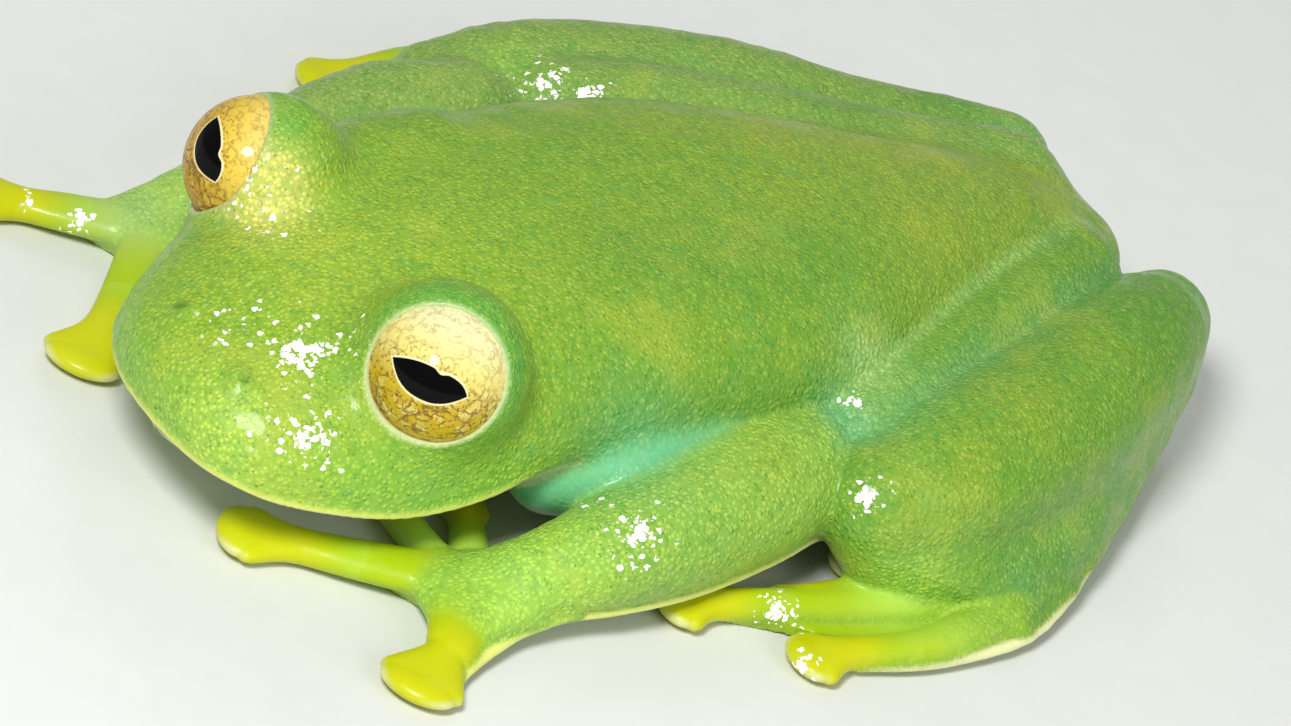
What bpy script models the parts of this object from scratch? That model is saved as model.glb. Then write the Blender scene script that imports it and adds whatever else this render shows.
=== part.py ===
"""A glass frog at rest, life size, in named solids.

The frog faces -Y with its left side at +X and sits on the plane z = 0.
Tables are written in millimetres and MM turns them into metres.
"""
import math

import bmesh
import bpy
from mathutils import Matrix, Vector

MM = 0.001

GAP = 0.3            # clear space between neighbouring solids
FLOOR_SNAP = 0.07    # points lower than this belong to a resting flat
WELD = 0.002         # points closer than this are one
BEYOND = 40.0        # well outside the frog

# The head and trunk, from the snout tip to the vent.
# Each row: y, half width, height of the back, height of the widest line, height of the underside,
# and the fullness of the underside, where 2 is an ellipse and less is more like a keel
BODY_STATIONS = [
    (-14.85, 0.00, 2.30, 2.22, 2.14, 1.5),
    (-14.80, 0.95, 3.00, 2.22, 1.95, 1.5),
    (-14.60, 1.75, 3.45, 2.20, 1.75, 1.5),
    (-14.20, 2.48, 3.80, 2.17, 1.60, 1.5),
    (-13.60, 3.13, 4.10, 2.12, 1.40, 1.5),
    (-12.60, 3.80, 4.45, 2.07, 1.20, 1.5),
    (-11.50, 4.34, 4.85, 2.03, 1.00, 1.5),
    (-10.20, 4.72, 5.15, 2.07, 0.80, 1.5),
    (-8.60, 4.95, 5.45, 2.35, 0.55, 1.5),
    (-6.60, 5.10, 5.65, 3.10, 0.25, 1.5),
    (-4.20, 5.30, 5.75, 3.40, -0.20, 1.45),
    (-1.40, 5.40, 5.75, 3.40, -0.40, 1.7),
    (1.60, 5.00, 5.60, 3.35, -0.40, 2.0),
    (4.60, 3.90, 5.30, 3.20, -0.25, 2.1),
    (7.40, 2.80, 4.90, 3.00, 0.05, 2.2),
    (9.80, 2.20, 4.40, 2.80, 0.50, 2.2),
    (11.50, 1.75, 3.80, 2.60, 1.00, 2.1),
    (12.50, 1.20, 3.20, 2.50, 1.60, 2.0),
    (12.80, 0.00, 2.50, 2.50, 2.50, 2.0),
]
BODY_FINENESS = (54, 40)  # rings and sides of the loft
BACK_FULLNESS = 2.35      # 2 is an ellipse, more is boxier
HEAD_TURN_START = -6.0    # the snout bends to the frog's left ahead of here
HEAD_TURN = 1.00          # sideways shift at the snout tip
HEAD_LENGTH = 8.80
LIP_STEP = 0.30           # the lower jaw is set in by this much
JAW_FADE = 3.0            # length over which that step grows from the neck
NECK_Y = -6.4

EYE_RADIUS = 1.55
EYE_CENTRE = {"left": (3.75, -10.05, 4.92), "right": (-3.70, -9.90, 4.80)}
EYE_OUTWARD = math.radians(42.0)    # from straight ahead
EYE_UPWARD = math.radians(24.0)
LID_RADIUS = {"left": 1.90, "right": 1.78}
LID_SETBACK = {"left": 0.54, "right": 0.37}
NOSTRIL_RADIUS = 0.30
NOSTRIL_PLACE = (1.15, -13.72, 3.84)

# The shoulder that stands out behind the right eye: x, y, z, half width, half height.
NAPE = [
    (-3.10, -8.30, 3.80, 1.35, 1.35),
    (-3.50, -6.90, 3.90, 1.50, 1.50),
    (-3.70, -5.40, 3.90, 1.45, 1.45),
]

# Limb rows: x, y, z, half width, half height, for a left limb; x is mirrored on the right.
LIMBS = {
    "left": {
        "upper_arm": [
            (4.10, -6.10, 2.00, 1.10, 1.05),
            (4.85, -4.70, 2.25, 1.30, 1.20),
            (5.20, -2.90, 2.35, 1.30, 1.25),
        ],
        "forearm": [
            (5.60, -0.50, 2.25, 1.60, 1.45),
            (6.00, -2.20, 2.15, 1.70, 1.50),
            (6.45, -4.40, 1.85, 1.50, 1.40),
            (6.60, -6.40, 1.50, 1.25, 1.10),
            (6.45, -8.00, 1.10, 0.95, 0.80),
        ],
        "thigh": [
            (1.60, 10.20, 2.45, 1.55, 1.70),
            (2.70, 8.00, 2.50, 1.70, 1.80),
            (3.90, 5.00, 2.50, 1.70, 1.80),
            (5.05, 2.60, 2.45, 1.60, 1.70),
            (5.70, 1.20, 2.40, 1.35, 1.50),
        ],
        "shank": [
            (7.25, 0.55, 2.40, 1.45, 1.30),
            (7.10, 2.00, 2.55, 1.85, 1.55),
            (6.65, 4.00, 2.70, 2.05, 1.65),
            (5.90, 6.50, 2.75, 2.00, 1.65),
            (4.80, 9.00, 2.80, 1.85, 1.60),
            (3.80, 11.00, 2.65, 1.55, 1.45),
            (3.20, 12.10, 2.45, 1.25, 1.25),
        ],
        "tarsus": [
            (4.00, 11.90, 1.35, 0.85, 0.80),
            (5.00, 10.45, 1.15, 0.85, 0.75),
            (6.50, 8.30, 0.92, 0.85, 0.66),
            (7.85, 6.10, 0.74, 0.90, 0.60),
        ],
    },
    "right": {
        "upper_arm": [
            (4.20, -5.60, 1.95, 1.10, 1.00),
            (5.20, -4.20, 2.10, 1.25, 1.15),
            (6.10, -2.60, 2.20, 1.25, 1.20),
        ],
        "forearm": [
            (7.15, -0.90, 2.24, 1.54, 1.40),
            (7.65, -2.60, 2.12, 1.55, 1.34),
            (7.60, -4.50, 1.86, 1.36, 1.20),
            (7.40, -6.20, 1.52, 1.12, 1.02),
            (7.10, -7.60, 1.15, 0.95, 0.80),
        ],
        "thigh": [
            (1.70, 11.00, 2.55, 1.55, 1.70),
            (2.80, 8.20, 2.50, 1.70, 1.80),
            (4.30, 5.40, 2.50, 1.75, 1.80),
            (5.90, 3.00, 2.40, 1.60, 1.65),
            (6.80, 1.50, 2.30, 1.30, 1.45),
        ],
        "shank": [
            (8.60, -0.30, 1.95, 1.40, 1.15),
            (8.35, 1.40, 2.05, 1.80, 1.40),
            (7.68, 3.80, 2.15, 1.97, 1.47),
            (6.45, 6.60, 2.22, 1.92, 1.48),
            (5.00, 9.20, 2.12, 1.62, 1.36),
            (3.95, 11.40, 2.20, 1.36, 1.25),
            (3.35, 12.55, 2.25, 1.10, 1.15),
        ],
        "tarsus": [
            (4.30, 12.40, 1.35, 0.85, 0.80),
            (5.60, 10.90, 1.15, 0.85, 0.75),
            (7.60, 8.80, 0.90, 0.85, 0.66),
            (9.30, 6.60, 0.74, 0.90, 0.60),
        ],
    },
}

# Each sole is two rows like those of a limb. Each digit has its base, its bend and
# the centre of its disc as x, y on the floor, from the innermost digit outwards.
HANDS = {
    "left": {
        "sole": [(6.40, -8.60, 0.85, 1.15, 0.60), (6.25, -9.60, 0.65, 1.35, 0.50)],
        "digits": [
            ((5.70, -8.90), (4.50, -8.10), (3.30, -7.30)),
            ((5.70, -9.40), (4.10, -9.20), (2.45, -9.00)),
            ((5.45, -9.50), (4.30, -11.10), (2.95, -12.75)),
            ((6.60, -9.80), (7.45, -10.62), (8.10, -11.75)),
        ],
    },
    "right": {
        "sole": [(7.05, -8.20, 0.85, 1.10, 0.60), (6.80, -9.10, 0.65, 1.30, 0.50)],
        "digits": [
            ((6.20, -8.60), (5.20, -8.20), (4.20, -7.80)),
            ((6.20, -9.00), (4.90, -9.20), (3.70, -9.40)),
            ((6.40, -9.40), (4.90, -11.10), (3.50, -12.95)),
            ((7.10, -9.40), (8.10, -10.80), (9.15, -12.20)),
        ],
    },
}
FEET = {
    "left": {
        "sole": [(8.40, 5.00, 0.64, 1.05, 0.56), (8.85, 3.20, 0.56, 1.40, 0.50)],
        "digits": [
            ((7.80, 3.20), (7.10, 3.10), (6.50, 2.90)),
            ((8.00, 2.80), (7.40, 1.90), (6.90, 1.05)),
            ((8.30, 2.40), (8.00, 0.60), (7.80, -1.50)),
            ((8.80, 2.40), (8.20, -0.90), (7.30, -3.95)),
            ((9.60, 3.20), (10.00, 0.80), (9.60, -1.95)),
        ],
    },
    "right": {
        "sole": [(9.90, 5.50, 0.64, 0.95, 0.56), (10.30, 3.80, 0.56, 1.25, 0.50)],
        "digits": [
            ((9.40, 3.90), (8.70, 3.80), (8.10, 3.70)),
            ((9.60, 3.50), (9.00, 2.60), (8.50, 1.80)),
            ((9.80, 3.10), (9.70, 1.30), (9.60, -0.70)),
            ((10.30, 3.10), (10.20, -0.10), (9.80, -3.20)),
            ((10.90, 3.50), (11.60, 1.60), (11.55, -0.90)),
        ],
    },
}
FINGER_HALF_WIDTH = 0.56
TOE_HALF_WIDTH = 0.46
FINGER_HALF_HEIGHT = 0.36
DISC_HALF_WIDTH = 0.82
DISC_HALF_HEIGHT = 0.30
SMALL_DISC = 0.7        # discs of the short inner digits
SMALL_WIDTH = 0.8
FINGER_DISC = 1.18      # discs of the two outer fingers
TOE_DISC = 1.0
WEB_THICKNESS = 0.5
HAND_WEB = [0.10, 0.20, 0.30]       # how far each web reaches along its digits
FOOT_WEB = [0.60, 0.75, 0.80, 0.90]
HAND_HOLLOW = 0.42      # how far the free edge dips between two digits
FOOT_HOLLOW = 0.14
WEB_LIFT = 0.05
WEB_STEPS = 6

# A digit's root, bend and neck as shares of its half width and height, and their lift.
ROOT_WIDTH = 1.25
ROOT_HEIGHT = 1.15
ROOT_LIFT = 0.20
BEND_LIFT = 0.10
NECK_WIDTH = 0.98
NECK_LIFT = 0.02
DISC_BACK = 0.75        # from the disc's centre to the neck
DISC_AHEAD = 0.22       # from the disc's centre to where its round end starts
DISC_ROUNDING = 0.92

# Fineness of the lofts, as rings and sides, and of the balls.
LIMB_RINGS = 8
LIMB_SIDES = 12
DIGIT_RINGS = 18
END_TURNS = (35, 65)    # degrees at which a rounded end gets a ring
AROUND_BODY_FINENESS = (28, 24)
LID_FINENESS = (32, 20)
EYE_FINENESS = (18, 10)
SOCKET_FINENESS = (22, 12)

BODY_VOXEL = 0.16       # grain at which overlapping shapes are fused
PADDLE_VOXEL = 0.10
BODY_SMOOTHING = 4
PADDLE_SMOOTHING = 2
BODY_TRIANGLES = 2200
HAND_TRIANGLES = 510
FOOT_TRIANGLES = 570
SMOOTH_ANGLE = math.radians(40)

PADDLES = {
    "foot": {"plan": FEET, "webs": FOOT_WEB, "hollow": FOOT_HOLLOW, "wide": TOE_HALF_WIDTH, "disc": TOE_DISC,
             "triangles": FOOT_TRIANGLES},
    "hand": {"plan": HANDS, "webs": HAND_WEB, "hollow": HAND_HOLLOW, "wide": FINGER_HALF_WIDTH,
             "disc": FINGER_DISC, "triangles": HAND_TRIANGLES},
}

SKIN_COLOUR = {
    "head": (0.30, 0.55, 0.10),
    "trunk": (0.33, 0.56, 0.11),
    "upper_arm": (0.30, 0.62, 0.40),
    "forearm": (0.40, 0.60, 0.18),
    "hand": (0.66, 0.72, 0.10),
    "thigh": (0.36, 0.56, 0.14),
    "shank": (0.34, 0.55, 0.16),
    "tarsus": (0.32, 0.56, 0.28),
    "foot": (0.64, 0.70, 0.10),
}
IRIS_COLOUR = (0.75, 0.55, 0.16)
SKIN_ROUGHNESS = 0.42
EYE_ROUGHNESS = 0.12

SIDES = {"left": 1.0, "right": -1.0}


def clear_scene():
    for obj in list(bpy.data.objects):
        bpy.data.objects.remove(obj, do_unlink=True)


def make_collection(name):
    collection = bpy.data.collections.new(name)
    bpy.context.scene.collection.children.link(collection)
    return collection


def make_material(name, colour, roughness):
    material = bpy.data.materials.new(name)
    material.use_nodes = True
    shader = material.node_tree.nodes["Principled BSDF"]
    shader.inputs["Base Color"].default_value = (*colour, 1.0)
    shader.inputs["Roughness"].default_value = roughness
    shader.inputs["Metallic"].default_value = 0.0
    return material


def add_object(name, mesh, collection):
    obj = bpy.data.objects.new(name, mesh)
    collection.objects.link(obj)
    return obj


def interpolate(rows, count):
    """Rows along a smooth Catmull-Rom curve through the given rows."""
    first = [2 * a - b for a, b in zip(rows[0], rows[1])]
    last = [2 * a - b for a, b in zip(rows[-1], rows[-2])]
    ext = [first, *rows, last]
    result = []
    for step in range(count):
        place = step / (count - 1) * (len(rows) - 1)
        k = min(int(place), len(rows) - 2)
        t = place - k
        row = []
        for p0, p1, p2, p3 in zip(ext[k], ext[k + 1], ext[k + 2], ext[k + 3]):
            bend = (2 * p0 - 5 * p1 + 4 * p2 - p3) * t * t
            rise = (3 * p1 - p0 - 3 * p2 + p3) * t ** 3
            row.append(0.5 * (2 * p1 + (p2 - p0) * t + bend + rise))
        result.append(row)
    return result


def skin_rings(name, rings, tip_start, tip_end, collection):
    """A closed loft: rings of points in order, with one point at each end."""
    bm = bmesh.new()
    sides = len(rings[0])
    loops = [[bm.verts.new(Vector(p) * MM) for p in ring] for ring in rings]
    start = bm.verts.new(Vector(tip_start) * MM)
    end = bm.verts.new(Vector(tip_end) * MM)
    for i in range(sides):
        j = (i + 1) % sides
        bm.faces.new((start, loops[0][j], loops[0][i]))
        bm.faces.new((end, loops[-1][i], loops[-1][j]))
        for low, high in zip(loops, loops[1:]):
            bm.faces.new((low[i], low[j], high[j], high[i]))
    bmesh.ops.recalc_face_normals(bm, faces=bm.faces)
    mesh = bpy.data.meshes.new(name)
    bm.to_mesh(mesh)
    bm.free()
    return add_object(name, mesh, collection)


def head_shift(y):
    """Sideways place of the midline at y: the head is turned a little to the left."""
    ahead = max(0.0, HEAD_TURN_START - y) / HEAD_LENGTH
    return HEAD_TURN * ahead ** 1.5


def power(value, exponent):
    return math.copysign(abs(value) ** exponent, value)


def body_shape(name, grow, collection, fineness):
    """Head and trunk as one loft of rounded sections."""
    count, sides = fineness
    rows = interpolate(BODY_STATIONS, count)
    rings = []
    for y, half, top, middle, bottom, keel in rows[1:-1]:
        half = max(half, 0.1) + grow
        jaw = max(0.0, min(1.0, (NECK_Y - y) / JAW_FADE))
        ring = []
        for i in range(sides):
            angle = 2 * math.pi * i / sides
            upper = math.sin(angle) >= -1e-9
            fullness = BACK_FULLNESS if upper else keel
            x = half * power(math.cos(angle), 2 / fullness)
            rise = power(math.sin(angle), 2 / fullness)
            if upper:
                z = middle + (top + grow - middle) * rise
            else:
                z = middle + (middle - bottom + grow) * rise
                x *= 1 - jaw * LIP_STEP / half
            ring.append((head_shift(y) + x, y, max(z, -grow)))
        rings.append(ring)
    first, last = rows[0], rows[-1]
    return skin_rings(name, rings, (head_shift(first[0]), first[0] - grow, first[2]),
                      (0.0, last[0] + grow, last[2]), collection)


def limb_shape(name, rows, grow, collection, rings=LIMB_RINGS):
    """A tapering limb with rounded ends along a smooth centre line."""
    line = interpolate(rows, rings)
    centres = [Vector(r[:3]) for r in line]
    tangents = []
    for k in range(rings):
        ahead = centres[min(k + 1, rings - 1)]
        behind = centres[max(k - 1, 0)]
        tangents.append((ahead - behind).normalized())
    sections = []
    for turn in reversed(END_TURNS):
        sections.append((0, -math.sin(math.radians(turn)), math.cos(math.radians(turn))))
    for k in range(rings):
        sections.append((k, 0.0, 1.0))
    for turn in END_TURNS:
        sections.append((rings - 1, math.sin(math.radians(turn)), math.cos(math.radians(turn))))
    loops = []
    for k, push, scale in sections:
        wide = line[k][3] + grow
        high = line[k][4] + grow
        centre = centres[k] + tangents[k] * push * (wide + high) / 2
        side = tangents[k].cross(Vector((0, 0, 1))).normalized()
        up = side.cross(tangents[k])
        ring = []
        for i in range(LIMB_SIDES):
            angle = 2 * math.pi * i / LIMB_SIDES
            across = side * wide * math.cos(angle)
            ring.append(centre + (across + up * high * math.sin(angle)) * scale)
        loops.append(ring)
    start = centres[0] - tangents[0] * (line[0][3] + line[0][4] + 2 * grow) / 2
    end = centres[-1] + tangents[-1] * (line[-1][3] + line[-1][4] + 2 * grow) / 2
    return skin_rings(name, loops, start, end, collection)


def ball(name, centre, radius, collection, fineness):
    mesh = bpy.data.meshes.new(name)
    bm = bmesh.new()
    segments, rings = fineness
    place = Matrix.Translation(Vector(centre) * MM)
    bmesh.ops.create_uvsphere(bm, u_segments=segments, v_segments=rings, radius=radius * MM, matrix=place)
    bm.to_mesh(mesh)
    bm.free()
    return add_object(name, mesh, collection)


def box(name, low, high, collection):
    mesh = bpy.data.meshes.new(name)
    bm = bmesh.new()
    size = Vector(high) - Vector(low)
    middle = (Vector(high) + Vector(low)) / 2
    place = Matrix.Translation(middle * MM) @ Matrix.Diagonal((*(size * MM), 1))
    bmesh.ops.create_cube(bm, size=1.0, matrix=place)
    bm.to_mesh(mesh)
    bm.free()
    return add_object(name, mesh, collection)


def apply_modifiers(obj):
    """Replace the object's mesh by what its modifiers make of it."""
    graph = bpy.context.evaluated_depsgraph_get()
    graph.update()
    mesh = bpy.data.meshes.new_from_object(obj.evaluated_get(graph))
    obj.modifiers.clear()
    obj.data = mesh


def join(name, objects, collection):
    """One mesh that holds all the given shapes, which are removed."""
    bm = bmesh.new()
    for obj in objects:
        bm.from_mesh(obj.data)
        bpy.data.objects.remove(obj, do_unlink=True)
    mesh = bpy.data.meshes.new(name)
    bm.to_mesh(mesh)
    bm.free()
    return add_object(name, mesh, collection)


def blend_shapes(obj, voxel, smoothing, triangles):
    """Fuse overlapping shapes into one smooth body of about the given size."""
    fuse = obj.modifiers.new("fuse", "REMESH")
    fuse.mode = "VOXEL"
    fuse.voxel_size = voxel * MM
    soften = obj.modifiers.new("soften", "SMOOTH")
    soften.factor = 0.5
    soften.iterations = smoothing
    apply_modifiers(obj)
    count = sum(len(p.vertices) - 2 for p in obj.data.polygons)
    thin = obj.modifiers.new("thin", "DECIMATE")
    thin.ratio = triangles / count
    thin.use_collapse_triangulate = True
    apply_modifiers(obj)


def rest_on_floor(obj):
    """Give the lowest part of a shape a flat at z = 0."""
    for vertex in obj.data.vertices:
        if vertex.co.z < FLOOR_SNAP * MM:
            vertex.co.z = 0.0


def boolean(obj, cutter, operation):
    modifier = obj.modifiers.new(operation.lower(), "BOOLEAN")
    modifier.operation = operation
    modifier.object = cutter
    modifier.solver = "EXACT"
    apply_modifiers(obj)


def keep_largest(obj):
    """Drop the crumbs that a cut may leave beside the main body."""
    bm = bmesh.new()
    bm.from_mesh(obj.data)
    bmesh.ops.remove_doubles(bm, verts=bm.verts, dist=WELD * MM)
    left = set(bm.faces)
    groups = []
    while left:
        stack = [left.pop()]
        group = list(stack)
        while stack:
            face = stack.pop()
            for edge in face.edges:
                for other in edge.link_faces:
                    if other in left:
                        left.remove(other)
                        stack.append(other)
                        group.append(other)
        groups.append(group)
    groups.sort(key=lambda g: -sum(f.calc_area() for f in g))
    crumbs = [f for group in groups[1:] for f in group]
    bmesh.ops.delete(bm, geom=crumbs, context="FACES")
    bmesh.ops.triangulate(bm, faces=bm.faces)
    bm.to_mesh(obj.data)
    bm.free()


def eye_axis(side):
    outward = SIDES[side] * math.sin(EYE_OUTWARD) * math.cos(EYE_UPWARD)
    ahead = -math.cos(EYE_OUTWARD) * math.cos(EYE_UPWARD)
    return Vector((outward, ahead, math.sin(EYE_UPWARD)))


def mirrored(rows, side):
    return [(SIDES[side] * row[0], *row[1:]) for row in rows]


def digit_rows(digit, disc_scale, wide):
    """Centre line and widths of one digit that ends in a flat disc."""
    base, bend, disc = [Vector((*p, 0)) for p in digit]
    ahead = (disc - bend).normalized()
    high = FINGER_HALF_HEIGHT
    wide *= SMALL_WIDTH if disc_scale == SMALL_DISC else 1
    disc_wide = DISC_HALF_WIDTH * disc_scale
    disc_high = DISC_HALF_HEIGHT
    neck = disc - ahead * DISC_BACK * disc_scale
    tip = disc + ahead * DISC_AHEAD * disc_scale
    return [
        (base.x, base.y, high + ROOT_LIFT, wide * ROOT_WIDTH, high * ROOT_HEIGHT),
        (bend.x, bend.y, high + BEND_LIFT, wide, high),
        (neck.x, neck.y, high + NECK_LIFT, wide * NECK_WIDTH, high),
        (disc.x, disc.y, disc_high, disc_wide, disc_high),
        (tip.x, tip.y, disc_high, disc_wide * DISC_ROUNDING, disc_high * DISC_ROUNDING),
    ]


def digit_point(digit, along):
    """The point on a digit's line at a share of its length, at the height of the webs."""
    base, bend, disc = [Vector((*p, FINGER_HALF_HEIGHT + WEB_LIFT)) for p in digit]
    if along < 0.5:
        return base.lerp(bend, along * 2)
    return bend.lerp(disc, along * 2 - 1)


def web_shape(name, first, second, reach, hollow, collection):
    """A thin sheet between two digits, with a hollow free edge."""
    bm = bmesh.new()
    grid = []
    for i in range(WEB_STEPS + 1):
        across = i / WEB_STEPS
        far = reach * (1 - hollow * math.sin(math.pi * across))
        row = []
        for k in range(WEB_STEPS + 1):
            along = far * k / WEB_STEPS
            point = digit_point(first, along).lerp(digit_point(second, along), across)
            row.append(bm.verts.new(point * MM))
        grid.append(row)
    for i in range(WEB_STEPS):
        for k in range(WEB_STEPS):
            bm.faces.new((grid[i][k], grid[i + 1][k], grid[i + 1][k + 1], grid[i][k + 1]))
    mesh = bpy.data.meshes.new(name)
    bm.to_mesh(mesh)
    bm.free()
    sheet = add_object(name, mesh, collection)
    solid = sheet.modifiers.new("thickness", "SOLIDIFY")
    solid.thickness = WEB_THICKNESS * MM
    solid.offset = 0.0
    apply_modifiers(sheet)
    return sheet


def paddle(name, shape, side, collection):
    """A hand or foot: its sole, its digits with discs, and the webs between them."""
    plan = shape["plan"][side]
    digits = [mirrored(digit, side) for digit in plan["digits"]]
    pieces = [limb_shape(name + "_sole", mirrored(plan["sole"], side), 0.0, collection)]
    for number, digit in enumerate(digits):
        scale = SMALL_DISC if number < len(digits) - 2 else shape["disc"]
        rows = digit_rows(digit, scale, shape["wide"])
        pieces.append(limb_shape(name + "_digit", rows, 0.0, collection, DIGIT_RINGS))
    for number, reach in enumerate(shape["webs"]):
        pair = digits[number], digits[number + 1]
        pieces.append(web_shape(name + "_web", *pair, reach, shape["hollow"], collection))
    whole = join(name, pieces, collection)
    blend_shapes(whole, PADDLE_VOXEL, PADDLE_SMOOTHING, shape["triangles"])
    rest_on_floor(whole)
    return whole


def build():
    clear_scene()
    frog = make_collection("glass_frog")
    cutters = make_collection("cutters")

    body = body_shape("body", 0.0, cutters, BODY_FINENESS)
    bumps = [limb_shape("nape", NAPE, 0.0, cutters)]
    for side in SIDES:
        lid = Vector(EYE_CENTRE[side]) - eye_axis(side) * LID_SETBACK[side]
        bumps.append(ball("lid_" + side, lid, LID_RADIUS[side], cutters, LID_FINENESS))
        x, y, z = NOSTRIL_PLACE
        nostril = (SIDES[side] * x + head_shift(y), y, z)
        bumps.append(ball("nostril_" + side, nostril, NOSTRIL_RADIUS, cutters, LID_FINENESS))
    body = join("body", [body, *bumps], cutters)
    blend_shapes(body, BODY_VOXEL, BODY_SMOOTHING, BODY_TRIANGLES)
    rest_on_floor(body)
    around_body = body_shape("around_body", GAP, cutters, AROUND_BODY_FINENESS)

    nodes = {}
    halves = [("head", -BEYOND, NECK_Y - GAP / 2), ("trunk", NECK_Y + GAP / 2, BEYOND)]
    for name, low, high in halves:
        node = add_object(name, body.data.copy(), frog)
        half = box("half", (-BEYOND, low, -BEYOND), (BEYOND, high, BEYOND), cutters)
        boolean(node, half, "INTERSECT")
        bpy.data.objects.remove(half, do_unlink=True)
        nodes[name] = node
    for side in SIDES:
        eye = ball("eye_" + side, EYE_CENTRE[side], EYE_RADIUS, frog, EYE_FINENESS)
        socket = ball("socket", EYE_CENTRE[side], EYE_RADIUS + GAP, cutters, SOCKET_FINENESS)
        boolean(nodes["head"], socket, "DIFFERENCE")
        bpy.data.objects.remove(socket, do_unlink=True)
        nodes["eye_" + side] = eye

    for side in SIDES:
        grown = [around_body]
        for part in ("shank", "thigh", "tarsus", "forearm", "upper_arm"):
            rows = mirrored(LIMBS[side][part], side)
            name = part + "_" + side
            node = limb_shape(name, rows, 0.0, frog)
            rest_on_floor(node)
            for cutter in grown:
                boolean(node, cutter, "DIFFERENCE")
            grown.append(limb_shape("around_" + name, rows, GAP, cutters))
            nodes[name] = node
        for part, shape in PADDLES.items():
            name = part + "_" + side
            node = paddle(name, shape, side, frog)
            for cutter in grown:
                boolean(node, cutter, "DIFFERENCE")
            nodes[name] = node

    for name, node in nodes.items():
        keep_largest(node)
        part = name.replace("_left", "").replace("_right", "")
        colour = SKIN_COLOUR.get(part, IRIS_COLOUR)
        roughness = EYE_ROUGHNESS if part == "eye" else SKIN_ROUGHNESS
        node.data.materials.clear()
        node.data.materials.append(make_material(name, colour, roughness))
        node.data.shade_smooth()
        node.data.set_sharp_from_angle(angle=SMOOTH_ANGLE)
    bpy.data.objects.remove(body, do_unlink=True)
    for cutter in cutters.objects:
        cutter.hide_render = True
        cutter.display_type = "WIRE"


build()
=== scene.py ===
"""Looks of the glass frog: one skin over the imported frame, two separate eyes, floor, light and camera."""
import math

import bpy
import numpy as np
from mathutils import Matrix, Vector


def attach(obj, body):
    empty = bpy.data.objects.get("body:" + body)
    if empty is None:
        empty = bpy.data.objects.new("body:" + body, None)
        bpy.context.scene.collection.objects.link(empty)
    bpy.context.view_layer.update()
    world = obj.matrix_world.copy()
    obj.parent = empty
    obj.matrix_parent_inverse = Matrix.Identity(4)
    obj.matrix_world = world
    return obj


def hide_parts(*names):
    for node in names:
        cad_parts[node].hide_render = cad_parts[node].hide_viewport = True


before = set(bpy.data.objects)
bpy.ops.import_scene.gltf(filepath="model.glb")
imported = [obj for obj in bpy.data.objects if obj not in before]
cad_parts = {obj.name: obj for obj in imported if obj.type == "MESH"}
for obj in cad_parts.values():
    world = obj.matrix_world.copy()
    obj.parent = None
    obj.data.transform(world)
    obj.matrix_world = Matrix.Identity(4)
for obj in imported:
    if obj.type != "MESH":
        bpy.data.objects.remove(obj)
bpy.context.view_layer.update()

MM = 0.001
# The spacing of the skin's points, in millimetres.
GRAIN = 0.075

# The head and trunk from the snout tip to the vent, in millimetres.
# Each row: y, half width, height of the back, of the widest line and of the underside, and the
# fullness of the underside.
BODY_STATIONS = [
    (-14.85, 0.00, 2.30, 2.22, 2.14, 1.5),
    (-14.80, 0.95, 3.00, 2.22, 1.95, 1.5),
    (-14.60, 1.75, 3.45, 2.20, 1.75, 1.5),
    (-14.20, 2.48, 3.80, 2.17, 1.60, 1.5),
    (-13.60, 3.13, 4.10, 2.12, 1.40, 1.5),
    (-12.60, 3.80, 4.45, 2.07, 1.20, 1.5),
    (-11.50, 4.34, 4.85, 2.03, 1.00, 1.5),
    (-10.20, 4.72, 5.15, 2.07, 0.80, 1.5),
    (-8.60, 4.95, 5.45, 2.35, 0.55, 1.5),
    (-6.60, 5.10, 5.65, 3.10, 0.25, 1.5),
    (-4.20, 5.30, 5.75, 3.40, -0.20, 1.45),
    (-1.40, 5.40, 5.75, 3.40, -0.40, 1.7),
    (1.60, 5.00, 5.60, 3.35, -0.40, 2.0),
    (4.60, 3.90, 5.30, 3.20, -0.25, 2.1),
    (7.40, 2.80, 4.90, 3.00, 0.05, 2.2),
    (9.80, 2.20, 4.40, 2.80, 0.50, 2.2),
    (11.50, 1.75, 3.80, 2.60, 1.00, 2.1),
    (12.50, 1.20, 3.20, 2.50, 1.60, 2.0),
    (12.80, 0.00, 2.50, 2.50, 2.50, 2.0),
]
BACK_FULLNESS = 2.35
STATION_COUNT = 240
BLUNT_FROM = 8.0
THINNEST = 0.03
TINY = 1e-4
HEAD_TURN_START = -6.0
HEAD_TURN = 1.0
HEAD_LENGTH = 8.8
NECK_Y = -6.4
JAW_FADE = 3.0

# The lip, the step back beneath it and the chin.
LIP_STEP = 0.3
LIP_STEP_HEIGHT = 0.2
JAW_SETBACK = 0.45
LIP_BULGE = 0.04
LIP_ABOVE = 0.08
LIP_SPREAD = 0.1
CHIN_BULGE = 0.1
CHIN_BELOW = 0.34
CHIN_SPREAD = 0.14

EYE_RADIUS = 1.55
EYE_CENTRE = {"left": (3.75, -10.05, 4.92), "right": (-3.7, -9.9, 4.8)}
LID_AXIS = {"left": (0.611, -0.679, 0.407), "right": (-0.49, -0.82, 0.29)}
GAZE = {"left": (0.551, -0.73, 0.404), "right": (-0.003, -0.893, 0.45)}
LID_RADIUS = {"left": 1.9, "right": 1.78}
LID_SETBACK = {"left": 0.54, "right": 0.37}
SOCKET_RADIUS = 1.5
LID_OPENING = 1.42
LID_SOFT = 0.75
SOCKET_SOFT = 0.16
EYE_REACH = 3.8

NOSTRIL_PLACE = (1.15, -13.72, 3.88)
NOSTRIL_RADIUS = 0.14
NOSTRIL_SOFT = 0.4
NOSTRIL_REACH = 1.5
HOLE_RADIUS = 0.11
HOLE_SOFT = 0.06
HOLE_RISE = 0.22

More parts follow.
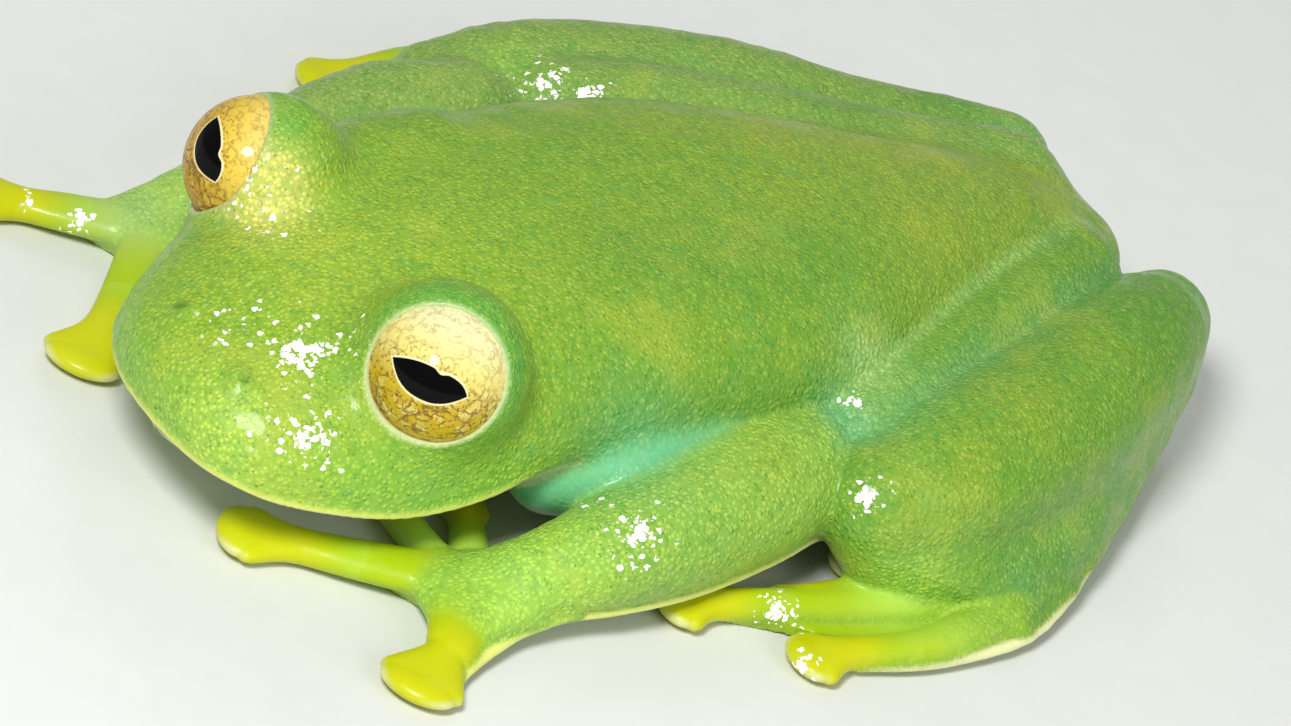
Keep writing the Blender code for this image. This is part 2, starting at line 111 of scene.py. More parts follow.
# The shoulder that stands out behind the right eye: x, y, z, half width, half height.
NAPE = [
    (-3.1, -8.3, 3.8, 1.35, 1.35), (-3.5, -6.9, 3.9, 1.5, 1.5), (-3.7, -5.4, 3.9, 1.45, 1.45),
]

# The limbs, with x outwards. Each row: x, y, z, half width, half height.
LIMBS = {
    "left": {
        "upper_arm": [
            (4.1, -6.1, 2.0, 1.1, 1.05), (4.85, -4.7, 2.25, 1.3, 1.2), (5.2, -2.9, 2.35, 1.3, 1.25),
        ],
        "forearm": [
            (5.6, -0.5, 2.25, 1.6, 1.45), (6.0, -2.2, 2.15, 1.7, 1.5), (6.45, -4.4, 1.85, 1.5, 1.4),
            (6.6, -6.4, 1.5, 1.25, 1.1), (6.45, -8.0, 1.1, 0.95, 0.8),
        ],
        "thigh": [
            (1.6, 10.2, 2.45, 1.55, 1.7), (2.7, 8.0, 2.5, 1.7, 1.8), (3.9, 5.0, 2.5, 1.7, 1.8),
            (5.05, 2.6, 2.45, 1.6, 1.7), (5.7, 1.2, 2.4, 1.35, 1.5),
        ],
        "shank": [
            (7.25, 0.55, 2.4, 1.45, 1.3), (7.1, 2.0, 2.55, 1.85, 1.55), (6.65, 4.0, 2.7, 2.05, 1.65),
            (5.9, 6.5, 2.75, 2.0, 1.65), (4.8, 9.0, 2.8, 1.85, 1.6), (3.8, 11.0, 2.65, 1.55, 1.45),
            (3.2, 12.1, 2.45, 1.25, 1.25),
        ],
        "tarsus": [
            (4.0, 11.9, 1.35, 0.85, 0.8), (5.0, 10.45, 1.15, 0.85, 0.75), (6.5, 8.3, 0.92, 0.85, 0.66),
            (7.85, 6.1, 0.74, 0.9, 0.6),
        ],
    },
    "right": {
        "upper_arm": [
            (4.2, -5.6, 1.95, 1.1, 1.0), (5.2, -4.2, 2.1, 1.25, 1.15), (6.1, -2.6, 2.2, 1.25, 1.2),
        ],
        "forearm": [
            (7.15, -0.9, 2.24, 1.54, 1.4), (7.65, -2.6, 2.12, 1.55, 1.34),
            (7.6, -4.5, 1.86, 1.36, 1.2), (7.4, -6.2, 1.52, 1.12, 1.02), (7.1, -7.6, 1.15, 0.95, 0.8),
        ],
        "thigh": [
            (1.7, 11.0, 2.55, 1.55, 1.7), (2.8, 8.2, 2.5, 1.7, 1.8), (4.3, 5.4, 2.5, 1.75, 1.8),
            (5.9, 3.0, 2.4, 1.6, 1.65), (6.8, 1.5, 2.3, 1.3, 1.45),
        ],
        "shank": [
            (8.6, -0.3, 1.95, 1.4, 1.15), (8.35, 1.4, 2.05, 1.8, 1.4), (7.68, 3.8, 2.15, 1.97, 1.47),
            (6.45, 6.6, 2.22, 1.92, 1.48), (5.0, 9.2, 2.12, 1.62, 1.36), (3.95, 11.4, 2.2, 1.36, 1.25),
            (3.35, 12.55, 2.25, 1.1, 1.15),
        ],
        "tarsus": [
            (4.3, 12.4, 1.35, 0.85, 0.8), (5.6, 10.9, 1.15, 0.85, 0.75), (7.6, 8.8, 0.9, 0.85, 0.66),
            (9.3, 6.6, 0.74, 0.9, 0.6),
        ],
    },
}

# Hands and feet: the sole in rows like the limbs, and each digit's base, bend and disc from above.
HANDS = {
    "left": {
        "sole": [(6.4, -8.6, 0.85, 1.15, 0.6), (6.25, -9.6, 0.65, 1.35, 0.5)],
        "digits": [
            ((5.7, -8.9), (4.5, -8.1), (3.3, -7.3)), ((5.7, -9.4), (4.1, -9.2), (2.45, -9.0)),
            ((5.45, -9.5), (4.3, -11.1), (2.95, -12.75)), ((6.6, -9.8), (7.45, -10.62), (8.1, -11.75)),
        ],
    },
    "right": {
        "sole": [(7.05, -8.2, 0.85, 1.1, 0.6), (6.8, -9.1, 0.65, 1.3, 0.5)],
        "digits": [
            ((6.2, -8.6), (5.2, -8.2), (4.2, -7.8)), ((6.2, -9.0), (4.9, -9.2), (3.7, -9.4)),
            ((6.4, -9.4), (4.9, -11.1), (3.5, -12.95)), ((7.1, -9.4), (8.1, -10.8), (9.15, -12.2)),
        ],
    },
}
FEET = {
    "left": {
        "sole": [(8.4, 5.0, 0.64, 1.05, 0.56), (8.85, 3.2, 0.56, 1.4, 0.5)],
        "digits": [
            ((7.8, 3.2), (7.1, 3.1), (6.5, 2.9)), ((8.0, 2.8), (7.4, 1.9), (6.9, 1.05)),
            ((8.3, 2.4), (8.0, 0.6), (7.8, -1.5)), ((8.8, 2.4), (8.2, -0.9), (7.3, -3.95)),
            ((9.6, 3.2), (10.0, 0.8), (9.6, -1.95)),
        ],
    },
    "right": {
        "sole": [(9.9, 5.5, 0.64, 0.95, 0.56), (10.3, 3.8, 0.56, 1.25, 0.5)],
        "digits": [
            ((9.4, 3.9), (8.7, 3.8), (8.1, 3.7)), ((9.6, 3.5), (9.0, 2.6), (8.5, 1.8)),
            ((9.8, 3.1), (9.7, 1.3), (9.6, -0.7)), ((10.3, 3.1), (10.2, -0.1), (9.8, -3.2)),
            ((10.9, 3.5), (11.6, 1.6), (11.55, -0.9)),
        ],
    },
}

# Skin that fills the bend between the shank and the foot, then the pale edges of foot and hand.
CALF = {
    "left": [
        (5.0, 10.0, 1.5, 0.8, 0.7), (7.0, 6.95, 1.35, 0.95, 0.85), (7.9, 5.35, 1.15, 1.1, 0.85),
        (8.4, 3.6, 1.05, 1.15, 0.85), (8.15, 1.7, 1.2, 1.0, 0.95), (7.9, 0.7, 1.35, 0.75, 0.85),
    ],
    "right": [
        (5.3, 10.3, 1.5, 0.8, 0.7), (7.6, 7.4, 1.3, 0.9, 0.85), (9.0, 5.6, 1.1, 1.0, 0.8),
        (9.6, 3.9, 1.0, 1.0, 0.8), (9.45, 1.6, 1.1, 0.9, 0.85), (9.2, 0.3, 1.15, 0.7, 0.75),
    ],
}
FOOT_EDGE = {
    "left": [
        (5.95, 10.1, 1.2, 0.05, 0.05), (7.1, 8.6, 1.05, 0.13, 0.11), (8.24, 6.96, 0.86, 0.15, 0.12),
        (9.38, 5.4, 0.56, 0.12, 0.1), (10.24, 3.6, 0.36, 0.12, 0.1), (10.4, 1.57, 0.3, 0.15, 0.12),
        (10.34, 0.2, 0.28, 0.12, 0.1), (10.08, -1.1, 0.24, 0.05, 0.05),
    ],
    "right": [
        (6.4, 10.6, 1.1, 0.05, 0.05), (7.7, 9.2, 0.95, 0.13, 0.11), (8.95, 7.6, 0.8, 0.15, 0.12),
        (10.2, 6.1, 0.56, 0.16, 0.12), (11.25, 4.4, 0.36, 0.17, 0.12), (11.7, 2.6, 0.28, 0.17, 0.12),
        (12.1, 0.9, 0.26, 0.13, 0.1), (12.0, -0.3, 0.24, 0.05, 0.05),
    ],
}
HAND_EDGE = {
    "left": [
        (7.5, -7.4, 0.8, 0.05, 0.05), (7.42, -8.6, 0.52, 0.13, 0.1), (7.7, -9.6, 0.4, 0.13, 0.1),
        (8.02, -10.4, 0.32, 0.12, 0.09), (8.45, -11.1, 0.26, 0.05, 0.05),
    ],
    "right": [
        (8.05, -7.2, 0.8, 0.05, 0.05), (8.08, -8.3, 0.52, 0.13, 0.1), (8.15, -9.3, 0.4, 0.13, 0.1),
        (8.62, -10.45, 0.32, 0.12, 0.09), (9.3, -11.3, 0.26, 0.05, 0.05),
    ],
}
FINGER_HALF_WIDTH = 0.56
TOE_HALF_WIDTH = 0.46
FINGER_HALF_HEIGHT = 0.36
DISC_HALF_WIDTH = 0.82
DISC_HALF_HEIGHT = 0.3
DISC_NECK = 0.75
DISC_TIP = 0.22
SMALL_DISC = 0.7
SMALL_WIDTH = 0.8
FINGER_DISC = 1.18
TOE_DISC = 1.0
HAND_WEB = [0.1, 0.2, 0.3]
FOOT_WEB = [0.6, 0.75, 0.8, 0.9]
HAND_HOLLOW = 0.42
FOOT_HOLLOW = 0.14
WEB_HEIGHT = 0.22
WEB_HALF_THICKNESS = 0.16
WEB_ROUNDING = 0.02
WEB_SIDE_STEPS = 6
WEB_EDGE_STEPS = 8
FOLD_TURN = 40
FOLD_HALF_WIDTH = 0.16
FOLD_HALF_HEIGHT = 0.11
SIDES = {"left": 1.0, "right": -1.0}

# How softly each shape joins the skin before it.
SOFT = {"nape": 0.9, "upper_arm": 0.35, "forearm": 0.22, "forearm_fold": 0.16, "tarsus": 0.9,
        "calf": 0.9, "sole": 0.45, "edge": 0.3, "digit": 0.22, "web": 0.26}
THIGH_SOFT = {"left": 0.3, "right": 0.55}
SHANK_SOFT = {"left": 0.16, "right": 0.4}
BOX_MARGIN = 0.8
PADDLES = {
    "hand": {"plan": HANDS, "edge": HAND_EDGE, "webs": HAND_WEB, "hollow": HAND_HOLLOW,
             "wide": FINGER_HALF_WIDTH, "disc": FINGER_DISC},
    "foot": {"plan": FEET, "edge": FOOT_EDGE, "webs": FOOT_WEB, "hollow": FOOT_HOLLOW,
             "wide": TOE_HALF_WIDTH, "disc": TOE_DISC},
}


def interpolate(rows, count):
    """Rows along a smooth Catmull-Rom curve through the given rows."""
    rows = np.array(rows, float)
    ext = np.vstack([2 * rows[0] - rows[1], rows, 2 * rows[-1] - rows[-2]])
    place = np.linspace(0, len(rows) - 1, count)
    k = np.minimum(place.astype(int), len(rows) - 2)
    t = (place - k)[:, None]
    p0, p1, p2, p3 = ext[k], ext[k + 1], ext[k + 2], ext[k + 3]
    return 0.5 * (2 * p1 + (p2 - p0) * t + (2 * p0 - 5 * p1 + 4 * p2 - p3) * t ** 2
                  + (3 * p1 - p0 - 3 * p2 + p3) * t ** 3)


def mirrored(rows, side):
    return [(SIDES[side] * row[0], *row[1:]) for row in rows]


def ramp(low, high, value):
    """A smooth rise from 0 at low to 1 at high."""
    t = np.clip((value - low) / (high - low), 0, 1)
    return t * t * (3 - 2 * t)


def soft_min(a, b, width):
    """The union of two shapes with a fillet of about the given width."""
    h = np.clip(0.5 + 0.5 * (b - a) / width, 0, 1)
    return b + (a - b) * h - width * h * (1 - h)


def soft_max(a, b, width):
    return -soft_min(-a, -b, width)


def unit(v):
    v = np.array(v, float)
    return v / np.linalg.norm(v)


def norm(v):
    return np.linalg.norm(v, axis=1)


def dot(a, b):
    return np.einsum("ij,ij->i", a, b)


def head_shift(y):
    ahead = np.maximum(0.0, HEAD_TURN_START - y) / HEAD_LENGTH
    return HEAD_TURN * ahead ** 1.5


STATIONS = interpolate(BODY_STATIONS, STATION_COUNT)
STATIONS = STATIONS[np.argsort(STATIONS[:, 0])]
SECTION_SLOPE = np.gradient(STATIONS[:, 1], STATIONS[:, 0]) * (np.abs(STATIONS[:, 0]) > BLUNT_FROM)


def body_rows(y):
    """The heights of back, widest line and underside, and the fullness of the underside."""
    return [np.interp(y, STATIONS[:, 0], STATIONS[:, c]) for c in range(2, 6)]


def blunt_slope(y):
    """How much faster than true distance the sections close in, towards the blunt snout."""
    gradient = np.interp(y, STATIONS[:, 0], SECTION_SLOPE)
    return np.sqrt(1 + gradient ** 2)


def body_field(p):
    """Distance to the head and trunk: below nought inside."""
    x, y, z = p.T
    top, middle, bottom, keel = body_rows(y)
    x = x - head_shift(y)
    jaw = np.clip((NECK_Y - y) / JAW_FADE, 0, 1)
    dz = z - middle
    upper = dz >= 0
    below = ramp(0.0, LIP_STEP_HEIGHT, -dz) * jaw
    half = np.maximum(np.interp(y - JAW_SETBACK * below, STATIONS[:, 0], STATIONS[:, 1]), THINNEST)
    lip = LIP_BULGE * jaw * np.exp(-((dz - LIP_ABOVE) / LIP_SPREAD) ** 2)
    chin = CHIN_BULGE * jaw * np.exp(-((dz + CHIN_BELOW) / CHIN_SPREAD) ** 2)
    wide = np.maximum(half + lip - LIP_STEP * below + chin, THINNEST)
    high = np.maximum(np.where(upper, top - middle, middle - bottom), THINNEST)
    full = np.where(upper, BACK_FULLNESS, keel)
    r = (np.abs(x / wide) ** full + np.abs(dz / high) ** full) ** (1 / full)
    length = np.sqrt(x * x + dz * dz)
    d = length * (1 - 1 / np.maximum(r, TINY))
    d = d / blunt_slope(y)
    beyond = np.maximum(STATIONS[0, 0] - y, y - STATIONS[-1, 0])
    return np.where(beyond > 0, np.sqrt(np.maximum(d, 0) ** 2 + beyond ** 2), d)


def limb_field(p, line):
    """Distance to a limb of oval section along a centre line of rows x, y, z, half width, half height."""
    best = np.full(len(p), 1e9)
    place = np.zeros(len(p))
    for k in range(len(line) - 1):
        a, b = line[k, :3], line[k + 1, :3]
        ab = b - a
        t = np.clip((p - a) @ ab / (ab @ ab), 0, 1)
        gap = p - a - t[:, None] * ab
        d2 = dot(gap, gap)
        nearer = d2 < best
        best[nearer] = d2[nearer]
        place[nearer] = k + t[nearer]
    k = np.minimum(place.astype(int), len(line) - 2)
    t = (place - k)[:, None]
    row = line[k] * (1 - t) + line[k + 1] * t
    along = np.gradient(line[:, :3], axis=0)
    along /= norm(along)[:, None]
    along = along[k] * (1 - t) + along[k + 1] * t
    along /= norm(along)[:, None]
    side = np.cross(along, (0, 0, 1))
    side /= norm(side)[:, None]
    up = np.cross(side, along)
    gap = p - row[:, :3]
    a = dot(gap, side) / row[:, 3]
    b = dot(gap, up) / row[:, 4]
    c = dot(gap, along) / ((row[:, 3] + row[:, 4]) / 2)
    r = np.sqrt(a * a + b * b + c * c)
    return norm(gap) * (1 - 1 / np.maximum(r, TINY))


def digit_rows(digit, disc_scale, wide):
    base, bend, disc = [Vector((*q, 0)) for q in digit]
    ahead = (disc - bend).normalized()
    high = FINGER_HALF_HEIGHT
    wide *= SMALL_WIDTH if disc_scale == SMALL_DISC else 1
    disc_wide = DISC_HALF_WIDTH * disc_scale
    neck = disc - ahead * DISC_NECK * disc_scale
    tip = disc + ahead * DISC_TIP * disc_scale
    return [
        (base.x, base.y, high + 0.2, wide * 1.25, high * 1.15),
        (bend.x, bend.y, high + 0.1, wide, high),
        (neck.x, neck.y, high + 0.02, wide * 0.9, high * 0.95),
        (disc.x, disc.y, DISC_HALF_HEIGHT, disc_wide, DISC_HALF_HEIGHT),
        (tip.x, tip.y, DISC_HALF_HEIGHT, disc_wide * 0.92, DISC_HALF_HEIGHT * 0.92),
    ]


def digit_point(digit, along):
    base, bend, disc = [np.array(q, float) for q in digit]
    if along < 0.5:
        return base + (bend - base) * along * 2
    return bend + (disc - bend) * (along * 2 - 1)


def web_outline(first, second, reach, hollow):
    """The plan of a web: out along one digit, across the hollow free edge and back along the other."""
    steps = range(WEB_SIDE_STEPS + 1)
    out = [digit_point(first, reach * k / WEB_SIDE_STEPS) for k in steps]
    edge = []
    for i in range(1, WEB_EDGE_STEPS):
        across = i / WEB_EDGE_STEPS
        far = reach * (1 - hollow * math.sin(math.pi * across))
        edge.append(digit_point(first, far) * (1 - across) + digit_point(second, far) * across)
    back = [digit_point(second, reach * k / WEB_SIDE_STEPS) for k in reversed(steps)]
    return np.array(out + edge + back)


def web_field(p, outline):
    """Distance to a thin sheet of the given outline, lying just above the floor."""
    q = p[:, :2]
    d2 = np.full(len(q), 1e9)
    inside = np.zeros(len(q), bool)
    for a, b in zip(outline, np.roll(outline, -1, axis=0)):
        ab = b - a
        size = ab @ ab
        if size < 1e-12:
            continue
        gap = q - a
        t = np.clip(gap @ ab / size, 0, 1)
        away = gap - t[:, None] * ab
        d2 = np.minimum(d2, dot(away, away))
        crosses = (a[1] > q[:, 1]) != (b[1] > q[:, 1])
        where = a[0] + (q[:, 1] - a[1]) * ab[0] / (ab[1] if abs(ab[1]) > 1e-9 else 1e-9)
        inside ^= crosses & (q[:, 0] < where)
    plan = np.where(inside, -1, 1) * np.sqrt(d2)
    height = np.abs(p[:, 2] - WEB_HEIGHT) - WEB_HALF_THICKNESS
    outside = np.sqrt(plan ** 2 + np.maximum(height, 0) ** 2) - WEB_ROUNDING
    return np.where(plan > 0, outside, np.maximum(plan, height))


def edge_fold(rows, side, turn, wide, high):
    """A low fold of skin along the outer edge of a limb, turned down from the side by some degrees."""
    line = interpolate(rows, 12)
    along = np.gradient(line[:, :3], axis=0)
    across = np.cross(along, (0, 0, 1))
    across /= norm(across)[:, None]
    across *= np.sign(across[:, :1]) * SIDES[side]
    c, s = math.cos(math.radians(turn)), math.sin(math.radians(turn))
    place = line[:, :3] + across * (line[:, 3:4] * c) - np.array([0, 0, 1.0]) * (line[:, 4:5] * s)
    return np.hstack([place, np.full((len(line), 1), wide), np.full((len(line), 1), high)])


class Part:
    """One shape of the skin: its distance function, its box, how softly it joins and what it belongs to."""
    def __init__(self, kind, function, low, high, soft):
        self.kind, self.function, self.soft = kind, function, soft
        self.low = np.array(low) - BOX_MARGIN
        self.high = np.array(high) + BOX_MARGIN


def limb_part(kind, rows, soft, count=18):
    line = interpolate(rows, count) if len(rows) < 10 else np.array(rows)
    reach = line[:, 3:].max()
    low = line[:, :3].min(0) - reach
    high = line[:, :3].max(0) + reach
    return Part(kind, lambda p: limb_field(p, line), low, high, soft)


def disc_scale(look, number):
    """The two outer digits carry the large discs."""
    count = len(look["plan"]["left"]["digits"])
    return look["disc"] if number >= count - 2 else SMALL_DISC


def skin_parts():
    parts = [limb_part("body", NAPE, SOFT["nape"])]
    for side in SIDES:
        rows = {name: mirrored(r, side) for name, r in LIMBS[side].items()}
        fold = edge_fold(rows["forearm"], side, FOLD_TURN, FOLD_HALF_WIDTH, FOLD_HALF_HEIGHT)
        parts.append(limb_part("upper_arm", rows["upper_arm"], SOFT["upper_arm"]))
        parts.append(limb_part("forearm", rows["forearm"], SOFT["forearm"]))
        parts.append(limb_part("fold", fold, SOFT["forearm_fold"]))
        parts.append(limb_part("thigh", rows["thigh"], THIGH_SOFT[side]))
        parts.append(limb_part("shank", rows["shank"], SHANK_SOFT[side]))
        parts.append(limb_part("tarsus", rows["tarsus"], SOFT["tarsus"]))
        parts.append(limb_part("shank", mirrored(CALF[side], side), SOFT["calf"]))
        for kind, look in PADDLES.items():
            parts += paddle_parts(kind, look, side)
    return parts


def paddle_parts(kind, look, side):
    """The sole, the outer edge, the digits and the webs of a hand or foot."""
    digits = [mirrored(d, side) for d in look["plan"][side]["digits"]]
    edge = interpolate(mirrored(look["edge"][side], side), 22)
    parts = [limb_part(kind, mirrored(look["plan"][side]["sole"], side), SOFT["sole"], 6)]
    parts.append(limb_part("fold", edge, SOFT["edge"]))
    for number, digit in enumerate(digits):
        scale = disc_scale(look, number)
        parts.append(limb_part("digit", digit_rows(digit, scale, look["wide"]), SOFT["digit"]))
    for number, reach in enumerate(look["webs"]):
        outline = web_outline(digits[number], digits[number + 1], reach, look["hollow"])
        low = (*outline.min(0), 0)
        high = (*outline.max(0), 0.6)
        parts.append(Part("web", lambda p, o=outline: web_field(p, o), low, high, SOFT["web"]))
    return parts


PARTS = skin_parts()


def lid_field(p, side):
    centre = EYE_CENTRE[side] - unit(LID_AXIS[side]) * LID_SETBACK[side]
    return norm(p - centre) - LID_RADIUS[side]


def socket_field(p, side):
    """Distance to the room of an eyeball and the round opening ahead of it."""
    axis = unit(LID_AXIS[side])
    gap = p - EYE_CENTRE[side]
    along = gap @ axis
    across = norm(gap - along[:, None] * axis)
    ball = norm(gap) - SOCKET_RADIUS
    tube = np.maximum(across - LID_OPENING, -along)
    return np.minimum(ball, tube)


def nostril(side):
    across, y, z = NOSTRIL_PLACE
    return np.array([SIDES[side] * across + float(head_shift(np.array(y))), y, z])


def nostril_hole(side, rise):
    return nostril(side) + np.array([SIDES[side] * 0.14, -0.05, rise])


def field(p):
    """Distance to the whole skin at the given points, in millimetres, block by block."""
    size = 12000
    return np.concatenate([field_block(p[k:k + size]) for k in range(0, len(p), size)])


def field_block(p):
    """Distance to the whole skin at the given points, in millimetres."""
    d = body_field(p)
    for side in SIDES:
        near = norm(p - EYE_CENTRE[side]) < EYE_REACH
        d[near] = soft_min(d[near], lid_field(p[near], side), LID_SOFT)
        gap = norm(p - nostril(side))
        near = gap < NOSTRIL_REACH
        d[near] = soft_min(d[near], gap[near] - NOSTRIL_RADIUS, NOSTRIL_SOFT)
        hole = norm(p - nostril_hole(side, HOLE_RISE))
        d[near] = soft_max(d[near], HOLE_RADIUS - hole[near], HOLE_SOFT)
    for part in PARTS:
        near = np.all((p > part.low) & (p < part.high), axis=1)
        if near.any():
            d[near] = soft_min(d[near], part.function(p[near]), part.soft)
    for side in SIDES:
        near = norm(p - EYE_CENTRE[side]) < EYE_REACH
        d[near] = soft_max(d[near], -socket_field(p[near], side), SOCKET_SOFT)
    return np.maximum(d, -p[:, 2])


CORNERS = [(i, j, k) for i in (0, 1) for j in (0, 1) for k in (0, 1)]


def sample_grid(low, high, pitch, levels=3):
    """The field on a fine grid, worked out only near the surface, from coarse cells to fine ones."""
    step = 2 ** (levels - 1)
    count = np.ceil((np.array(high) - low) / pitch / step).astype(int)
    axes = [low[a] + np.arange(count[a] + 1) * pitch * step for a in range(3)]
    values = field(np.stack(np.meshgrid(*axes, indexing="ij"), -1).reshape(-1, 3))
    values = values.reshape(count + 1).astype(np.float32)
    while step > 1:
        near = np.abs(values) < pitch * step * 1.0
        cells = np.zeros(np.array(values.shape) - 1, bool)
        for i, j, k in CORNERS:
            cells |= near[i:cells.shape[0] + i, j:cells.shape[1] + j, k:cells.shape[2] + k]
        step //= 2
        finer = np.where(values < 0, np.float32(-1), np.float32(1)).repeat(2, 0).repeat(2, 1).repeat(2, 2)
        finer = finer[:-1, :-1, :-1].copy()
        chosen = np.argwhere(cells) * 2
        wanted = np.zeros(finer.shape, bool)
        for i in range(3):
            for j in range(3):
                for k in range(3):
                    wanted[tuple((chosen + (i, j, k)).T)] = True
        finer[wanted] = field(np.array(low) + np.argwhere(wanted) * pitch * step)
        values = finer
    return values


def surface_net(grid, low, pitch):
    """Quads over the places where the grid changes sign."""
    inside = grid < 0
    cells = np.array(grid.shape) - 1
    count = np.zeros(cells, np.int8)
    for i, j, k in CORNERS:
        count += inside[i:cells[0] + i, j:cells[1] + j, k:cells[2] + k]
    active = np.argwhere((count > 0) & (count < 8))
    index = np.full(cells, -1, np.int32)
    index[tuple(active.T)] = np.arange(len(active))
    total = np.zeros((len(active), 3))
    hits = np.zeros(len(active))
    for a in range(3):
        for i in (0, 1):
            for j in (0, 1):
                start = np.zeros(3, int)
                start[(a + 1) % 3], start[(a + 2) % 3] = i, j
                end = start.copy()
                end[a] = 1
                v0 = grid[tuple((active + start).T)]
                v1 = grid[tuple((active + end).T)]
                cross = (v0 < 0) != (v1 < 0)
                t = np.where(cross, v0 / np.where(cross, v0 - v1, 1), 0)
                point = start + t[:, None] * (end - start)
                total[cross] += point[cross]
                hits[cross] += 1
    points = np.array(low) + (active + total / hits[:, None]) * pitch
    quads = []
    for a in range(3):
        b, c = (a + 1) % 3, (a + 2) % 3
        first = inside[tuple(slice(0, cells[d]) if d == a else slice(1, cells[d]) for d in range(3))]
        second = inside[tuple(slice(1, cells[d] + 1) if d == a else slice(1, cells[d]) for d in range(3))]
        for flip in (False, True):
            edges = np.argwhere((first & ~second) if not flip else (~first & second))
            edges[:, b] += 1
            edges[:, c] += 1
            loop = []
            for db, dc in ((0, 0), (1, 0), (1, 1), (0, 1)):
                cell = edges.copy()
                cell[:, b] -= db
                cell[:, c] -= dc
                loop.append(index[tuple(cell.T)])
            loop = np.stack(loop, 1)
            quads.append(loop if not flip else loop[:, ::-1])
    quads = np.vstack(quads)
    return points, quads[(quads >= 0).all(1)]


def settle(points, step=0.02):
    """Move points onto the true surface, along the field's slope there."""
    probes = np.array([(1, 1, 1), (1, -1, -1), (-1, 1, -1), (-1, -1, 1)], float)
    values = np.stack([field(points + q * step) for q in probes], 1)
    slope = values @ probes / (4 * step)
    size = np.maximum(dot(slope, slope), 0.3)
    points = points - slope * np.clip(values.mean(1) / size, -0.06, 0.06)[:, None]
    points = points - slope * np.clip(field(points) / size, -0.03, 0.03)[:, None]
    points[:, 2] = np.where(points[:, 2] < 0.03, 0.0, points[:, 2])
    return points


def relax(points, quads, weight, rounds):
    """Even out the points, more where the weight is larger."""
    a = np.concatenate([quads[:, i] for i in range(4)])
    b = np.concatenate([quads[:, (i + 1) % 4] for i in range(4)])
    ends = np.concatenate([a, b])
    others = np.concatenate([b, a])
    degree = np.bincount(ends, minlength=len(points))[:, None]
    for _ in range(rounds):
        mean = np.stack([np.bincount(ends, points[others, c], len(points)) for c in range(3)], 1) / degree
        points = points + (mean - points) * weight[:, None]
    return points


# The box round the skin, and the snout tip that is evened out once more.
LOW = np.array([-12.9, -15.2, -0.4])
HIGH = np.array([11.2, 14.4, 7.0])
TIP_FROM = -13.5
TIP_FULL = -14.2
TIP_HEIGHT = 2.4
TIP_REACH = 1.6

grid = sample_grid(LOW, HIGH, GRAIN)
points, quads = surface_net(grid, LOW, GRAIN)
points = relax(points, quads, np.full(len(points), 0.5), 2)
points = settle(points)
tip = ramp(TIP_FROM, TIP_FULL, points[:, 1]) * (np.abs(points[:, 2] - TIP_HEIGHT) < TIP_REACH)
points = relax(points, quads, 0.5 * tip, 8)
print("skin", len(points), "points", len(quads), "quads")


# The zones of colour, as linear red, green and blue.
LEAF = (0.255, 0.42, 0.03)
FLANK = (0.165, 0.34, 0.035)
SNOUT = (0.36, 0.53, 0.036)
BROW = (0.345, 0.5, 0.03)
JAW = (0.32, 0.6, 0.06)
RING = (0.14, 0.47, 0.06)
TEAL = (0.15, 0.53, 0.27)
# Painted shade, low on the near shank and foot.
SHADE = (0.13, 0.4, 0.14)
# Painted shade: darkens the heels, the rump and the far leg.
DEEP_PAINTED_SHADE = (0.12, 0.3, 0.03)
HAZE = (0.44, 0.64, 0.23)
REAR = (0.31, 0.43, 0.036)
PATCH = (0.45, 0.48, 0.026)
ARM = (0.36, 0.57, 0.075)
# The pale wrist colour; on the near foot and the far knee it serves as painted light.
WRIST_AND_PAINTED_LIGHT = (0.46, 0.74, 0.095)
LEG = (0.21, 0.39, 0.034)
FAR = (0.32, 0.45, 0.095)
DIGIT = (0.4, 0.56, 0.006)
DISC = (0.58, 0.6, 0.003)
PALE = (0.82, 0.83, 0.23)
CREAM = (0.88, 0.86, 0.56)
LIP = (0.84, 0.85, 0.2)
RIM = (0.78, 0.78, 0.52)
BELLY = (0.56, 0.66, 0.38)
GOLD = (0.84, 0.78, 0.17)
LOWER_LID = (0.52, 0.42, 0.33)
# Painted shade inside the nostril holes.
NOSTRIL_SHADE = (0.05, 0.15, 0.015)
BRIGHT = (0.56, 0.76, 0.095)
SUNNY = (0.45, 0.6, 0.05)
WAIST = (0.46, 0.68, 0.22)

# Places given a colour: the centre, the reach, the colour and its share. Some of them are painted shade or
# painted light, as said at each list.
BACK_SPOTS = [
    ((-2.2, 3.2, 5.2), 1.5, PATCH, 0.6), ((-1.6, 6.4, 4.9), 1.3, PATCH, 0.7),
    ((1.4, 5.2, 5.0), 1.1, PATCH, 0.4), ((0.8, 9.6, 4.4), 1.2, PATCH, 0.5),
    ((-2.6, 0.2, 5.5), 1.2, PATCH, 0.4), ((-1.0, 11.0, 3.8), 1.0, PATCH, 0.5),
    ((1.0, -3.0, 5.7), 1.6, PATCH, 0.3), ((-1.6, 5.3, 5.1), 0.7, PATCH, 0.5),
    ((-0.9, 7.6, 4.8), 0.8, PATCH, 0.5), ((0.4, 1.6, 5.6), 1.3, PATCH, 0.4),
    ((2.6, -1.4, 5.5), 1.5, FLANK, 0.6), ((2.7, 1.2, 5.4), 1.4, FLANK, 0.6),
    ((1.8, -3.6, 5.7), 1.2, FLANK, 0.6),
]
# The SHADE spots low on the near shank and foot are painted shade.
LIMB_SPOTS = [
    ((6.9, 4.2, 4.2), 1.0, PATCH, 0.45), ((7.9, 2.2, 3.7), 0.7, PATCH, 0.45),
    ((5.6, 7.6, 4.3), 0.9, PATCH, 0.35), ((7.0, 0.4, 3.7), 0.6, PATCH, 0.4),
    ((6.6, -2.4, 3.6), 0.7, PATCH, 0.35), ((7.4, 7.8, 2.0), 1.2, SHADE, 0.5),
    ((8.6, 5.4, 1.7), 1.1, SHADE, 0.5), ((9.3, 3.6, 1.2), 0.9, SHADE, 0.5),
]
